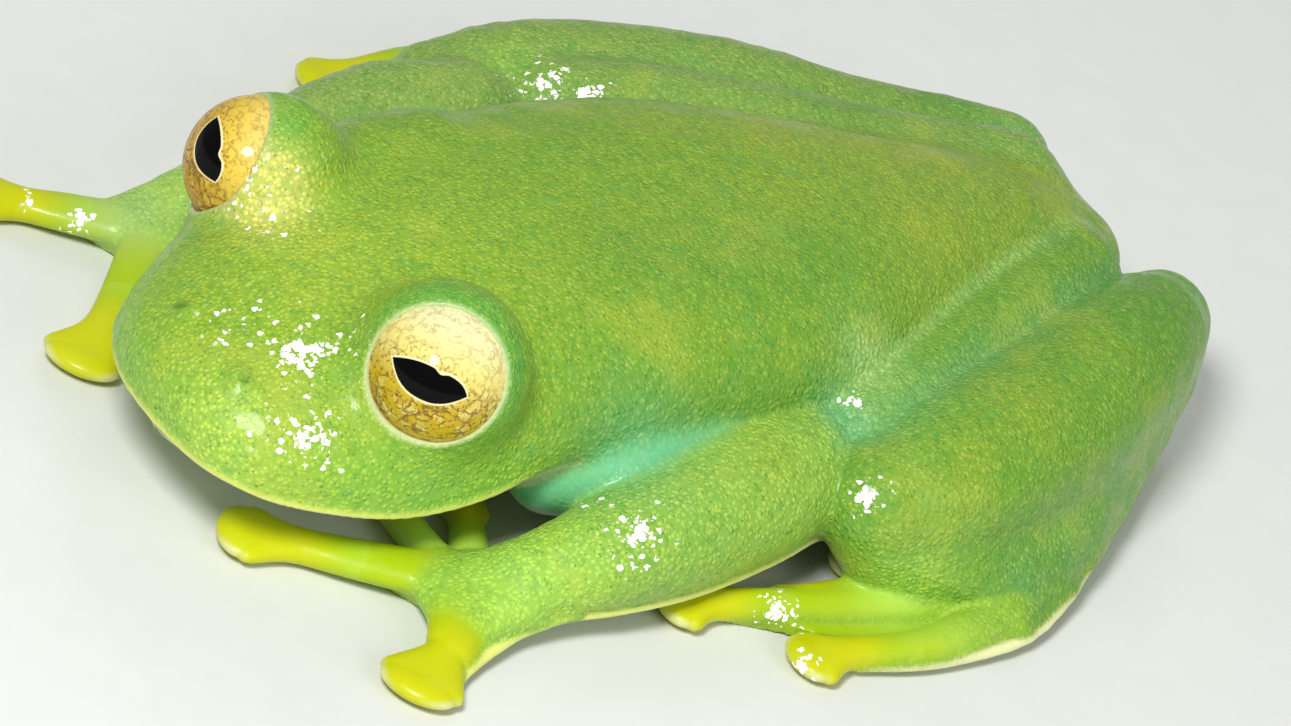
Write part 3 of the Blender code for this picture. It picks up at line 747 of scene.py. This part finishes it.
# The same on both sides, with x outwards.
TEAL_SPOTS = [
    ((5.75, 0.3, 3.7), 0.65, TEAL, 0.9), ((3.4, 12.4, 2.2), 1.4, TEAL, 0.5),
    ((5.0, -5.2, 2.8), 1.3, TEAL, 0.8),
]
# The dark touches on the heels, the rump and the far leg are painted shade. The pale touches on the near
# foot are painted light over the shadow of the shank, and the pale touch on the far knee is a painted
# highlight.
TOUCHES = [
    ((2.5, -14.2, 2.9), 1.2, BRIGHT, 0.95), ((0.1, -10.5, 5.1), 1.7, SUNNY, 0.85),
    ((4.8, 1.4, 4.2), 0.9, WAIST, 0.9), ((5.8, 0.7, 3.75), 0.5, WAIST, 0.4),
    ((8.8, 0.7, 1.2), 1.1, WRIST_AND_PAINTED_LIGHT, 0.9), ((10.2, 1.4, 0.8), 0.8, WRIST_AND_PAINTED_LIGHT, 0.4),
    ((-7.6, 0.9, 3.4), 1.0, WRIST_AND_PAINTED_LIGHT, 0.35), ((4.4, 10.7, 4.1), 1.3, DEEP_PAINTED_SHADE, 0.6),
    ((5.4, 8.9, 4.3), 1.2, DEEP_PAINTED_SHADE, 0.45), ((1.3, 9.6, 4.3), 1.0, DEEP_PAINTED_SHADE, 0.4),
    ((-3.8, 7.3, 4.2), 1.5, DEEP_PAINTED_SHADE, 0.4), ((-3.9, 10.9, 3.4), 1.5, DEEP_PAINTED_SHADE, 0.5),
    ((-7.1, -9.6, 0.9), 1.2, HAZE, 0.7), ((-7.4, -6.8, 1.8), 1.6, HAZE, 0.4),
]

# The share of the pale root colour on the digits.
ROOT_SHARE = {"hand": 0.9, "foot": 0.3}

# Where glints are painted on the skin's granules as painted highlights: the centre, the reach and the share
# of granules that get one.
PAINTED_SPARKLES = [
    ((2.0, -12.37, 4.44), 0.66, 1.0), ((1.1, -12.7, 4.4), 0.9, 0.34), ((2.1, -11.6, 4.75), 0.7, 0.3),
    ((3.66, -12.94, 3.56), 0.6, 0.9), ((2.6, -13.6, 3.5), 1.0, 0.14), ((3.4, -8.0, 5.5), 0.8, 0.12),
    ((7.25, -6.19, 2.56), 0.56, 1.0), ((5.9, -6.4, 2.45), 0.35, 0.6), ((7.88, -0.43, 3.1), 0.38, 1.0),
    ((5.51, 0.69, 3.77), 0.28, 1.0), ((8.25, -2.25, 0.55), 0.5, 1.0), ((9.8, -2.6, 0.36), 0.34, 1.0),
    ((-6.6, 0.7, 3.45), 0.65, 0.85), ((-7.51, -10.69, 0.67), 0.34, 0.9),
    ((-8.33, -11.58, 0.67), 0.24, 0.9), ((-5.98, 1.54, 3.65), 0.4, 1.0),
]


def near_point(p, centre, reach):
    gap = p - centre
    return np.exp(-dot(gap, gap) / reach ** 2)


class Coat:
    """The tint of each point of the skin, laid on in layers."""
    def __init__(self, count):
        self.tint = np.tile(np.array(LEAF), (count, 1))

    def lay(self, colour, weight):
        self.tint = self.tint + (colour - self.tint) * weight[:, None]

    def lay_spots(self, p, spots):
        for centre, reach, colour, share in spots:
            self.lay(colour, near_point(p, centre, reach) * share)


def kind_distances(p):
    """The distance to the nearest shape of each kind."""
    kinds = ["body", "upper_arm", "forearm", "fold", "thigh", "shank", "tarsus"]
    kinds += ["hand", "foot", "digit", "web"]
    result = {kind: np.full(len(p), 9.0) for kind in kinds}
    result["body"] = body_field(p)
    for part in PARTS:
        near = np.all((p > part.low) & (p < part.high), axis=1)
        if near.any():
            result[part.kind][near] = np.minimum(result[part.kind][near], part.function(p[near]))
    return result


def belongs(kinds, kind, blur=0.25):
    """How far each point belongs to one kind of shape, from 0 to 1."""
    others = np.min([v for k, v in kinds.items() if k != kind], axis=0)
    return ramp(blur, -blur, kinds[kind] - others)


def surface_normals(points, quads):
    a, b, c, d = [points[quads[:, k]] for k in range(4)]
    face = np.cross(c - a, d - b)
    normals = np.stack([sum(np.bincount(quads[:, k], face[:, axis], len(points)) for k in range(4))
                        for axis in range(3)], 1)
    return normals / np.maximum(norm(normals), 1e-12)[:, None]


def paint_body(coat, p):
    x, y, z = p.T
    coat.lay(SNOUT, ramp(-7.5, -12.5, y))
    coat.lay(BROW, near_point(p, (0.4, -8.2, 5.5), 3.2) * 0.9)
    coat.lay(JAW, ramp(4.2, 2.6, z) * ramp(-6.5, -9.0, y) * 0.8)
    coat.lay(REAR, ramp(1.0, 6.0, y) * 0.9)
    body_side = ramp(5.3, 4.0, z) * ramp(-8.0, -5.0, y) * ramp(4.0, 0.5, y)
    coat.lay(FLANK, body_side * 0.9)
    coat.lay_spots(p, BACK_SPOTS)


def paint_limbs(coat, p, kinds):
    x, y, z = p.T
    coat.lay(TEAL, belongs(kinds, "upper_arm", 0.5))
    arm = belongs(kinds, "forearm")
    coat.lay(ARM, arm)
    coat.lay(FAR, arm * (x < 0))
    coat.lay(WRIST_AND_PAINTED_LIGHT, arm * ramp(-6.0, -8.0, y))
    leg = np.maximum.reduce([belongs(kinds, kind) for kind in ("shank", "thigh", "tarsus", "foot")])
    coat.lay(LEG, leg)
    coat.lay(FAR, leg * (x < 0) * 0.8)
    coat.lay_spots(p, LIMB_SPOTS)
    coat.lay(DIGIT, belongs(kinds, "foot") * ramp(3.4, 1.4, y) * 0.7)
    coat.lay(WRIST_AND_PAINTED_LIGHT, belongs(kinds, "hand", 0.6))
    leg_gap = np.minimum(kinds["thigh"], kinds["shank"])
    shank_gap = np.abs(kinds["thigh"] - kinds["shank"])
    crease = np.exp(-(shank_gap / 0.5) ** 2) * ramp(0.6, 0.2, leg_gap)
    coat.lay(TEAL, crease * np.where(x < 0, 0.1, 0.35))
    waist_gap = np.abs(kinds["body"] - leg_gap)
    waist = np.exp(-(waist_gap / 0.22) ** 2) * ramp(0.5, 0.2, kinds["body"]) * (z > 3.2) * (x > 0)
    coat.lay(WAIST, waist * 0.45)
    for side in SIDES:
        coat.lay_spots(p, [(*mirrored([centre], side), *rest) for centre, *rest in TEAL_SPOTS])


def paint_digits(coat, p, kinds):
    """The digits and webs. Also gives how far each point is a toe or finger, and a disc's pale rim."""
    x, y, z = p.T
    toes = np.maximum(belongs(kinds, "digit", 0.35), belongs(kinds, "web", 0.3))
    coat.lay(DIGIT, toes)
    instep = ramp(0.4, 3.2, y) * toes
    coat.lay(LEG, instep * 0.85)
    coat.lay(WRIST_AND_PAINTED_LIGHT, instep * 0.45)
    toes = toes * (1 - 0.8 * instep)
    coat.lay_spots(p, TOUCHES)
    rim = np.zeros(len(p))
    for side in SIDES:
        for kind, look in PADDLES.items():
            digits = [mirrored(d, side) for d in look["plan"][side]["digits"]]
            for number, digit in enumerate(digits):
                base, bend, disc = digit
                scale = disc_scale(look, number)
                away = np.hypot(x - disc[0], y - disc[1])
                close = away < 2.4
                own = np.full(len(p), 9.0)
                own[close] = limb_field(p[close], interpolate(digit_rows(digit, scale, look["wide"]), 18))
                own = ramp(0.16, 0.04, own)
                away = away / scale
                coat.lay(DISC, toes * own * ramp(1.9, 0.7, away))
                coat.lay(WRIST_AND_PAINTED_LIGHT, toes * own * ramp(1.3, 3.2, away) * ROOT_SHARE[kind])
                ahead_of = unit(np.array(disc) - np.array(bend))
                front = ramp(0.0, 0.5, (x - disc[0]) * ahead_of[0] + (y - disc[1]) * ahead_of[1])
                rim = np.maximum(rim, ramp(0.7, 0.84, away) * front * own * (away < 1.3))
    coat.lay(RIM, rim * toes * 0.75)
    return toes, rim


def paint_edges(coat, p, kinds, normals, toes):
    """The pale folds, the lip and the underside, with how far each point is one of them."""
    x, y, z = p.T
    limb_gap = np.minimum(kinds["forearm"], kinds["tarsus"])
    fold = ramp(0.07, 0.0, kinds["fold"]) * ramp(-0.06, 0.04, limb_gap)
    coat.lay(PALE, fold * 0.9)
    coat.lay(CREAM, fold * ramp(-4.0, 1.0, y) * 0.7)
    middle = body_rows(y)[1]
    body = kinds["body"]
    lip = np.exp(-((z - middle - 0.03) / 0.12) ** 2) * ramp(-7.2, -8.6, y) * (body < 0.15)
    coat.lay(LIP, lip * 0.95)
    under = ramp(-0.1, -0.35, z - middle) * ramp(0.3, -0.5, normals[:, 2]) * (body < 0.3)
    coat.lay(BELLY, under * np.where(y < NECK_Y, 1.0, 0.9))
    coat.lay(BELLY, ramp(-0.35, -0.8, normals[:, 2]) * 0.6 * (1 - toes))
    return fold, lip, under


def paint_eyes(coat, p):
    """The green ring and pale rim of each eye, the painted shade in the nostrils and the golden skin by the
    right eye.
    """
    eye_rim = np.zeros(len(p))
    for side in SIDES:
        axis = unit(LID_AXIS[side])
        gap = p - EYE_CENTRE[side]
        along = gap @ axis
        away = norm(gap)
        across = norm(gap - along[:, None] * axis)
        behind = ramp(-1.4, 1.2, gap[:, 1] * 0.63 + gap[:, 2] * 0.77)
        ring = ramp(2.95, 1.6, across) * ramp(-0.9, 0.4, along) * (away < 3.2)
        coat.lay(RING, ring * (0.15 + 0.55 * behind))
        coat.lay(NOSTRIL_SHADE, near_point(p, nostril_hole(side, 0.2), 0.15))
        eye_rim = np.maximum(eye_rim, ramp(1.62, 1.4, across) * (along > 0.1) * (away < 2.3))
    coat.lay(RIM, eye_rim * 0.8)
    coat.lay(LOWER_LID, near_point(p, (-2.79, -11.21, 4.9), 0.38))
    gold = near_point(p, (-2.2, -10.85, 5.45), 0.9)
    coat.lay(GOLD, np.minimum(gold * 1.8, 1) * (1 - eye_rim))
    return eye_rim, gold


def paint(p, normals):
    """The tint of each point of the skin and the measures that its material reads."""
    kinds = kind_distances(p)
    coat = Coat(len(p))
    paint_body(coat, p)
    paint_limbs(coat, p, kinds)
    toes, rim = paint_digits(coat, p, kinds)
    fold, lip, under = paint_edges(coat, p, kinds, normals, toes)
    eye_rim, gold = paint_eyes(coat, p)
    # The share of granules given a painted glint, also over the golden patch.
    painted_sparkle = gold * 0.42
    for spot, reach, share in PAINTED_SPARKLES:
        painted_sparkle = np.maximum(painted_sparkle, near_point(p, spot, reach) * share)
    hand = belongs(kinds, "hand", 0.6) * 0.35
    foot = belongs(kinds, "foot") * ramp(3.4, 1.4, p[:, 1]) * 0.8
    upper_arm = belongs(kinds, "upper_arm", 0.5) * 0.8
    smooth_skin = np.maximum.reduce([fold, toes, eye_rim, lip, rim, hand, foot, upper_arm, under * 0.5])
    return coat.tint, {"smooth": smooth_skin, "painted_sparkle": painted_sparkle}


def lumps(p, pitch, seed):
    """Soft seeded noise over space, from -1 to 1."""
    rng = np.random.default_rng(seed)
    values = rng.uniform(-1, 1, (64, 64, 32))
    q = p / pitch + 200
    base = np.floor(q).astype(int)
    t = q - base
    t = t * t * (3 - 2 * t)
    total = 0
    for i, j, k in CORNERS:
        share = np.where((i, j, k), t, 1 - t)
        corner = values[(base[:, 0] + i) % 64, (base[:, 1] + j) % 64, (base[:, 2] + k) % 32]
        total = total + share[:, 0] * share[:, 1] * share[:, 2] * corner
    return total


# The unevenness of the skin: its height, its pitch and its seed.
RELIEF = [(0.02, 0.55, 1), (0.01, 0.24, 2)]

normals = surface_normals(points, quads)
colour, measures = paint(points, normals)
relief = sum(height * lumps(points, pitch, seed) for height, pitch, seed in RELIEF)
relief *= (1 - 0.85 * measures["smooth"]) * ramp(0.02, 0.4, points[:, 2])
points = points + normals * relief[:, None]


def make_mesh(name, points, faces):
    mesh = bpy.data.meshes.new(name)
    mesh.vertices.add(len(points))
    mesh.vertices.foreach_set("co", (points * MM).astype(np.float32).ravel())
    mesh.loops.add(faces.size)
    mesh.loops.foreach_set("vertex_index", faces.astype(np.int32).ravel())
    mesh.polygons.add(len(faces))
    mesh.polygons.foreach_set("loop_start", np.arange(0, faces.size, faces.shape[1], dtype=np.int32))
    mesh.update(calc_edges=True)
    mesh.validate()
    mesh.shade_smooth()
    return mesh


def add_piece(name, mesh, slot, *nodes):
    obj = bpy.data.objects.new(name, mesh)
    bpy.context.scene.collection.objects.link(obj)
    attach(obj, "root")
    if nodes:
        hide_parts(*nodes)
    return obj


mesh = make_mesh("skin", points, quads)
tint = mesh.attributes.new("tint", "FLOAT_COLOR", "POINT")
tint.data.foreach_set("color", np.hstack([colour, np.ones((len(colour), 1))]).astype(np.float32).ravel())
for name, values in measures.items():
    layer = mesh.attributes.new(name, "FLOAT", "POINT")
    layer.data.foreach_set("value", values.astype(np.float32))
flesh = [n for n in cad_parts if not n.startswith("eye")]
skin = add_piece("skin", mesh, "skin", *flesh)


class Tree:
    """Short ways to add and join shader nodes."""
    def __init__(self, name):
        self.material = bpy.data.materials.new(name)
        self.material.use_nodes = True
        self.nodes = self.material.node_tree.nodes
        self.links = self.material.node_tree.links
        self.shader = self.nodes["Principled BSDF"]

    def put(self, socket, value):
        if isinstance(value, bpy.types.NodeSocket):
            self.links.new(value, socket)
        elif isinstance(value, (int, float)):
            socket.default_value = value
        else:
            socket.default_value = (*value, 1.0) if len(value) == 3 and socket.type == "RGBA" else value

    def add(self, kind, out=0, settings=None, **inputs):
        node = self.nodes.new("ShaderNode" + kind)
        for key, value in (settings or {}).items():
            setattr(node, key, value)
        for key, value in inputs.items():
            self.put(node.inputs[key.replace("_", " ")], value)
        return node.outputs[out]

    def math(self, operation, a, b=0.0, clamp=False):
        node = self.nodes.new("ShaderNodeMath")
        node.operation = operation
        node.use_clamp = clamp
        self.put(node.inputs[0], a)
        self.put(node.inputs[1], b)
        return node.outputs[0]

    def times(self, a, b):
        return self.math("MULTIPLY", a, b)

    def blend(self, a, b, factor, kind="RGBA"):
        """A mix of two colours, or of two places where kind is VECTOR."""
        node = self.nodes.new("ShaderNodeMix")
        node.data_type = kind
        first, out = {"VECTOR": (4, 1), "RGBA": (6, 2)}[kind]
        self.put(node.inputs[0], factor)
        self.put(node.inputs[first], a)
        self.put(node.inputs[first + 1], b)
        return node.outputs[out]

    def span(self, value, low, high, start=0.0, end=1.0):
        node = self.nodes.new("ShaderNodeMapRange")
        node.interpolation_type = "SMOOTHSTEP"
        for number, given in enumerate((value, low, high, start, end)):
            self.put(node.inputs[number], given)
        return node.outputs[0]

    def cells(self, place, scale, feature="F1"):
        node = self.nodes.new("ShaderNodeTexVoronoi")
        node.feature = feature
        self.put(node.inputs["Vector"], place)
        self.put(node.inputs["Scale"], scale)
        return node.outputs

    def relief(self, height, distance, strength=1.0):
        normal = self.add("Bump", Strength=strength, Distance=distance, Height=height)
        self.put(self.shader.inputs["Normal"], normal)

    def surface(self, **inputs):
        """Set or link inputs of the surface itself."""
        for key, value in inputs.items():
            self.put(self.shader.inputs[key.replace("_", " ")], value)


# Colours laid over the tint of the skin.
LIGHT_GRANULE = (0.52, 0.7, 0.12)
DARK_GRANULE = (0.06, 0.26, 0.035)
BETWEEN_GRANULES = (0.06, 0.26, 0.03)
COOL_MOTTLE = (0.07, 0.36, 0.09)
WARM_MOTTLE = (0.5, 0.55, 0.06)
DARK_SPECK = (0.03, 0.17, 0.035)
PALE_DOT = (0.72, 0.84, 0.36)
VEIL = (0.62, 0.66, 0.05)
# Painted highlight: the white of the painted glints and the faint glow they give off.
PAINTED_GLINT = (1.0, 0.98, 0.9)
PAINTED_GLINT_GLOW = (1.0, 0.98, 0.92)

# How many cells lie along a metre.
GRANULES = 8200.0
DUST = 11000.0
BEADS = 7000.0


def painted_bead_glints(t, place, painted_sparkle):
    """White beads, uneven in shape and size, painted where the skin sparkles: painted highlights."""
    noise = t.add("TexNoise", 1, Vector=place, Scale=9000.0, Detail=1.0)
    bead = t.cells(t.blend(place, noise, 0.00016, "VECTOR"), BEADS)
    chance = t.add("SeparateColor", 2, Color=bead["Color"])
    size = t.span(t.add("SeparateColor", 0, Color=bead["Color"]), 0.0, 1.0, 0.2, 0.58)
    size = t.math("ADD", size, t.span(painted_sparkle, 0.5, 0.9, 0.0, 0.3))
    shape = t.span(t.math("SUBTRACT", bead["Distance"], size), 0.05, -0.08)
    return t.times(shape, t.span(t.math("SUBTRACT", painted_sparkle, chance), 0.0, 0.04))


def skin_material():
    """Granular, mottled green skin under a thin wet film, smooth where the measure says so, with painted
    glints that glow faintly.
    """
    t = Tree("frog_skin")
    place = t.add("TexCoord", 3)
    tint = t.add("Attribute", 0, {"attribute_name": "tint"})
    smooth = t.add("Attribute", 2, {"attribute_name": "smooth"})
    painted_sparkle = t.add("Attribute", 2, {"attribute_name": "painted_sparkle"})
    rough = t.math("SUBTRACT", 1.0, smooth, clamp=True)
    granule = t.cells(place, GRANULES)
    dome = t.span(granule["Distance"], 0.08, 0.62, 1.0, 0.0)
    chance = t.add("SeparateColor", 0, Color=granule["Color"])
    dust = t.cells(place, DUST)
    dust_chance = t.add("SeparateColor", 1, Color=dust["Color"])
    dust_spot = t.span(dust["Distance"], 0.1, 0.42, 1.0, 0.0)
    patches = t.add("TexNoise", Vector=place, Scale=1500.0, Detail=3.0, Roughness=0.6)
    broad = t.add("TexNoise", Vector=place, Scale=420.0, Detail=2.0)
    layers = [
        (LIGHT_GRANULE, t.span(chance, 0.55, 1.0), 0.22),
        (DARK_GRANULE, t.span(chance, 0.4, 0.0), 0.34),
        (BETWEEN_GRANULES, t.span(dome, 0.5, 0.0), 0.38),
        (COOL_MOTTLE, t.span(patches, 0.52, 0.72), 0.22),
        (WARM_MOTTLE, t.span(broad, 0.52, 0.7), 0.3),
        (DARK_SPECK, t.times(dust_spot, t.span(dust_chance, 0.66, 0.74)), 0.62),
        (PALE_DOT, t.times(dust_spot, t.span(dust_chance, 0.12, 0.06)), 0.35),
    ]
    grained = tint
    for layer, where, share in layers:
        grained = t.blend(grained, layer, t.times(where, share))
    veiled = t.blend(tint, VEIL, t.times(t.span(patches, 0.45, 0.75), 0.15))
    painted_glint = painted_bead_glints(t, place, painted_sparkle)
    t.surface(Base_Color=t.blend(t.blend(grained, veiled, smooth), PAINTED_GLINT, painted_glint))
    # The painted glints glow faintly, though they are no lamp.
    t.surface(Emission_Color=PAINTED_GLINT_GLOW, Emission_Strength=t.times(painted_glint, 0.25))

    film = t.span(patches, 0.35, 0.65, 0.3, 0.5)
    wet = t.math("ADD", film, t.times(smooth, 0.04))
    t.surface(Roughness=t.math("SUBTRACT", wet, t.times(painted_glint, 0.15)))
    height = t.math("ADD", t.times(dome, rough), t.times(patches, 0.5))
    height = t.math("ADD", height, t.times(t.times(dust_spot, rough), 0.25))
    height = t.math("ADD", height, t.times(painted_glint, 0.5))
    t.relief(height, 0.000024)
    t.surface(Specular_IOR_Level=0.28, Coat_Weight=0.15, Coat_Roughness=0.1)
    return t.material


skin.data.materials.append(skin_material())

EYE_RINGS = 120
EYE_SIDES = 144
CORNEA_BULGE = 0.035
CORNEA_EDGE = 0.75
PUPIL_LEVEL = {"left": (0.7, 0.66, -0.12), "right": (0.55, 0.05, -0.6)}


def eye_frame(side):
    """Across the pupil, up over it and out along the gaze."""
    gaze = unit(GAZE[side])
    level = np.array(PUPIL_LEVEL[side])
    across = unit(level - gaze * (gaze @ level))
    return across, np.cross(gaze, across), gaze


def eyeball(side):
    """A ball whose pole looks along the gaze, with measures for the pupil and iris."""
    across, over, gaze = eye_frame(side)
    rings, sides = EYE_RINGS, EYE_SIDES
    angle = np.linspace(0, math.pi, rings + 1)[1:-1]
    turn = np.arange(sides) * 2 * math.pi / sides
    a, b = np.meshgrid(angle, turn, indexing="ij")
    local = np.stack([np.sin(a) * np.cos(b), np.sin(a) * np.sin(b), np.cos(a)], -1).reshape(-1, 3)
    local = np.vstack([local, (0, 0, 1), (0, 0, -1)])
    bulge = 1 + CORNEA_BULGE * ramp(CORNEA_EDGE, 0.0, np.arccos(np.clip(local[:, 2], -1, 1)))
    world = local @ np.stack([across, over, gaze]) * (EYE_RADIUS * bulge)[:, None]
    world = world + EYE_CENTRE[side]
    faces = []
    for k in range(rings - 2):
        first = k * sides + np.arange(sides)
        step = np.roll(np.arange(sides), -1) + k * sides
        faces.append(np.stack([first, first + sides, step + sides, step], 1))
    faces = np.vstack(faces)
    mesh = bpy.data.meshes.new("eye_" + side)
    top = [(len(local) - 2, k, (k + 1) % sides) for k in range(sides)]
    last = (rings - 2) * sides
    bottom = [(len(local) - 1, last + (k + 1) % sides, last + k) for k in range(sides)]
    mesh.from_pydata((world * MM).tolist(), [], faces.tolist() + top + bottom)
    mesh.update()
    mesh.shade_smooth()
    layer = mesh.attributes.new("iris", "FLOAT_VECTOR", "POINT")
    layer.data.foreach_set("vector", local.astype(np.float32).ravel())
    return add_piece("eyeball_" + side, mesh, "eye", "eye_" + side)


PUPIL_HALF_LENGTH = {"left": 0.57, "right": 0.47}
PUPIL_ABOVE = 0.165
PUPIL_BELOW = 0.3
PUPIL = (0.002, 0.002, 0.002)
PUPIL_TRIM = (0.93, 0.84, 0.5)
OUTER_EYE = (0.5, 0.42, 0.16)
# The paler top of the iris takes painted sheen, stronger on the near left eye.
IRIS_SHEEN = (0.93, 0.89, 0.6)
SHEEN_SHARE = {"left": 0.6, "right": 0.2}
# The iris low down, high up and along its veins. The right eye's colours are darker: painted shade on the
# far eye.
IRIS = {
    "left": ((0.6, 0.42, 0.016), (0.89, 0.78, 0.25), (0.18, 0.075, 0.004)),
    "right": ((0.54, 0.31, 0.008), (0.8, 0.58, 0.08), (0.15, 0.05, 0.003)),
}


def eye_material(side):
    """A golden iris with brown veins round a pointed pupil, under a wet surface."""
    low, high, dark = IRIS[side]
    t = Tree("frog_eye_" + side)
    where = t.add("Attribute", 1, {"attribute_name": "iris"})
    parts = t.nodes.new("ShaderNodeSeparateXYZ")
    t.put(parts.inputs[0], where)
    x, y, z = parts.outputs
    share = t.math("DIVIDE", t.math("ABSOLUTE", x), PUPIL_HALF_LENGTH[side])
    blunt = t.math("SUBTRACT", 1.0, t.math("POWER", share, t.span(x, -0.1, 0.3, 2.0, 5.0)))
    lens = t.math("SUBTRACT", 1.0, t.math("POWER", share, 2.4))
    notch = t.times(t.span(t.math("ABSOLUTE", t.math("SUBTRACT", x, 0.13)), 0.12, 0.0), 0.04)
    above = t.math("SUBTRACT", y, t.math("SUBTRACT", t.times(blunt, PUPIL_ABOVE), notch))
    below = t.math("SUBTRACT", t.times(y, -1.0), t.times(lens, PUPIL_BELOW))
    edge = t.math("MAXIMUM", above, below)
    edge = t.math("ADD", edge, t.times(t.span(z, 0.2, -0.2), 2.0))
    pupil = t.span(edge, 0.008, -0.008)
    beside = t.math("SUBTRACT", 1.0, pupil)

    wobble = t.add("TexNoise", Vector=where, Scale=5.0, Detail=3.0)
    noise = t.add("TexNoise", 1, Vector=where, Scale=8.0, Detail=2.0)
    veins = t.cells(t.blend(where, noise, 0.16, "VECTOR"), 7.0, "DISTANCE_TO_EDGE")
    line = t.times(t.span(veins["Distance"], 0.15, 0.01), t.span(wobble, 0.4, 0.56))
    flecks = t.span(t.add("TexNoise", Vector=where, Scale=20.0, Detail=4.0, Roughness=0.7), 0.52, 0.64)
    rise = t.span(y, -0.35, 0.45)
    layers = [
        (high, t.times(t.span(wobble, 0.48, 0.66), 0.6)),
        (IRIS_SHEEN, t.times(t.span(y, 0.25, 0.85), SHEEN_SHARE[side])),
        (dark, t.times(flecks, t.span(rise, 0.0, 1.0, 0.7, 0.22))),
        (dark, t.times(line, t.span(rise, 0.0, 1.0, 0.85, 0.3))),
        (dark, t.times(t.times(t.span(edge, 0.32, 0.05), flecks), 0.65)),
        (PUPIL_TRIM, t.times(t.span(edge, 0.045, 0.016), beside)),
    ]
    base = t.blend(low, high, rise)
    for layer, share in layers:
        base = t.blend(base, layer, share)
    base = t.blend(OUTER_EYE, base, t.span(z, -0.12, 0.16))
    t.surface(Base_Color=t.blend(base, PUPIL, pupil), Roughness=t.span(pupil, 0.0, 1.0, 0.4, 0.1))
    height = t.math("ADD", t.times(line, -0.5), t.times(flecks, -0.4))
    t.relief(t.times(height, beside), 0.00002, 0.5)
    t.surface(Specular_IOR_Level=0.08, Coat_Weight=t.span(pupil, 0.0, 1.0, 0.38, 0.05), Coat_Roughness=0.03)
    return t.material


for side in SIDES:
    eyeball(side).data.materials.append(eye_material(side))


FLOOR_HALF = 1.2
FLOOR_COLOURS = [(0.74, 0.75, 0.72), (0.78, 0.79, 0.76)]
# Each lamp's name, place and size in metres, power, and whether it shows in the gloss.
LIGHTS = [
    ("key", (0.042, -0.096, 0.121), 0.045, 0.205, True),
    ("fill", (0.2, 0.02, 0.1), 0.16, 0.16, False),
    ("back", (-0.11, 0.12, 0.13), 0.12, 0.085, False),
]
SKY = (0.93, 0.96, 0.94, 1)
SKY_STRENGTH = 0.28


def add_floor():
    mesh = bpy.data.meshes.new("floor")
    corners = [(FLOOR_HALF * x, FLOOR_HALF * y, 0) for x, y in ((-1, -1), (1, -1), (1, 1), (-1, 1))]
    mesh.from_pydata(corners, [], [(0, 1, 2, 3)])
    floor = bpy.data.objects.new("floor", mesh)
    bpy.context.scene.collection.objects.link(floor)
    t = Tree("floor")
    speckle = t.add("TexNoise", Vector=t.add("TexCoord", 3), Scale=900.0, Detail=2.0)
    t.surface(Base_Color=t.blend(*FLOOR_COLOURS, speckle), Roughness=0.75)
    floor.data.materials.append(t.material)


def add_lights():
    for name, place, size, power, shines in LIGHTS:
        data = bpy.data.lights.new(name, "AREA")
        data.shape = "DISK"
        data.size = size
        data.energy = power
        lamp = bpy.data.objects.new(name, data)
        lamp.location = place
        lamp.visible_glossy = shines
        lamp.rotation_euler = (-Vector(place)).to_track_quat("-Z", "Y").to_euler()
        bpy.context.scene.collection.objects.link(lamp)
    world = bpy.data.worlds.new("studio")
    world.use_nodes = True
    world.node_tree.nodes["Background"].inputs["Color"].default_value = SKY
    world.node_tree.nodes["Background"].inputs["Strength"].default_value = SKY_STRENGTH
    bpy.context.scene.world = world


add_floor()
add_lights()

# The photo's viewpoint: angles in degrees, distance and target in millimetres, focal length in pixels.
AZIMUTH = 42.3
ELEVATION = 32.0
ROLL = 21.3
DISTANCE = 200
TARGET_HEIGHT = 0.74
FOCAL_LENGTH = 8990
PHOTO_WIDTH = 1291
SENSOR_WIDTH = 36.0


def set_camera():
    azimuth, elevation, roll = [math.radians(angle) for angle in (AZIMUTH, ELEVATION, ROLL)]
    back = Vector((math.sin(azimuth) * math.cos(elevation), -math.cos(azimuth) * math.cos(elevation),
                   math.sin(elevation)))
    right = Vector((math.cos(azimuth), math.sin(azimuth), 0))
    up = back.cross(right)
    turned_right = right * math.cos(roll) + up * math.sin(roll)
    turned_up = up * math.cos(roll) - right * math.sin(roll)
    place = (Vector((0, 0, TARGET_HEIGHT)) + back * DISTANCE) * MM
    data = bpy.data.cameras.new("camera")
    data.sensor_width = SENSOR_WIDTH
    data.lens = FOCAL_LENGTH / PHOTO_WIDTH * SENSOR_WIDTH
    data.clip_start = 0.01
    data.clip_end = 10.0
    camera = bpy.data.objects.new("camera", data)
    turn = Matrix((turned_right, turned_up, back)).transposed().to_4x4()
    camera.matrix_world = Matrix.Translation(place) @ turn
    bpy.context.scene.collection.objects.link(camera)
    bpy.context.scene.camera = camera


set_camera()
bpy.context.scene.view_settings.view_transform = "Standard"
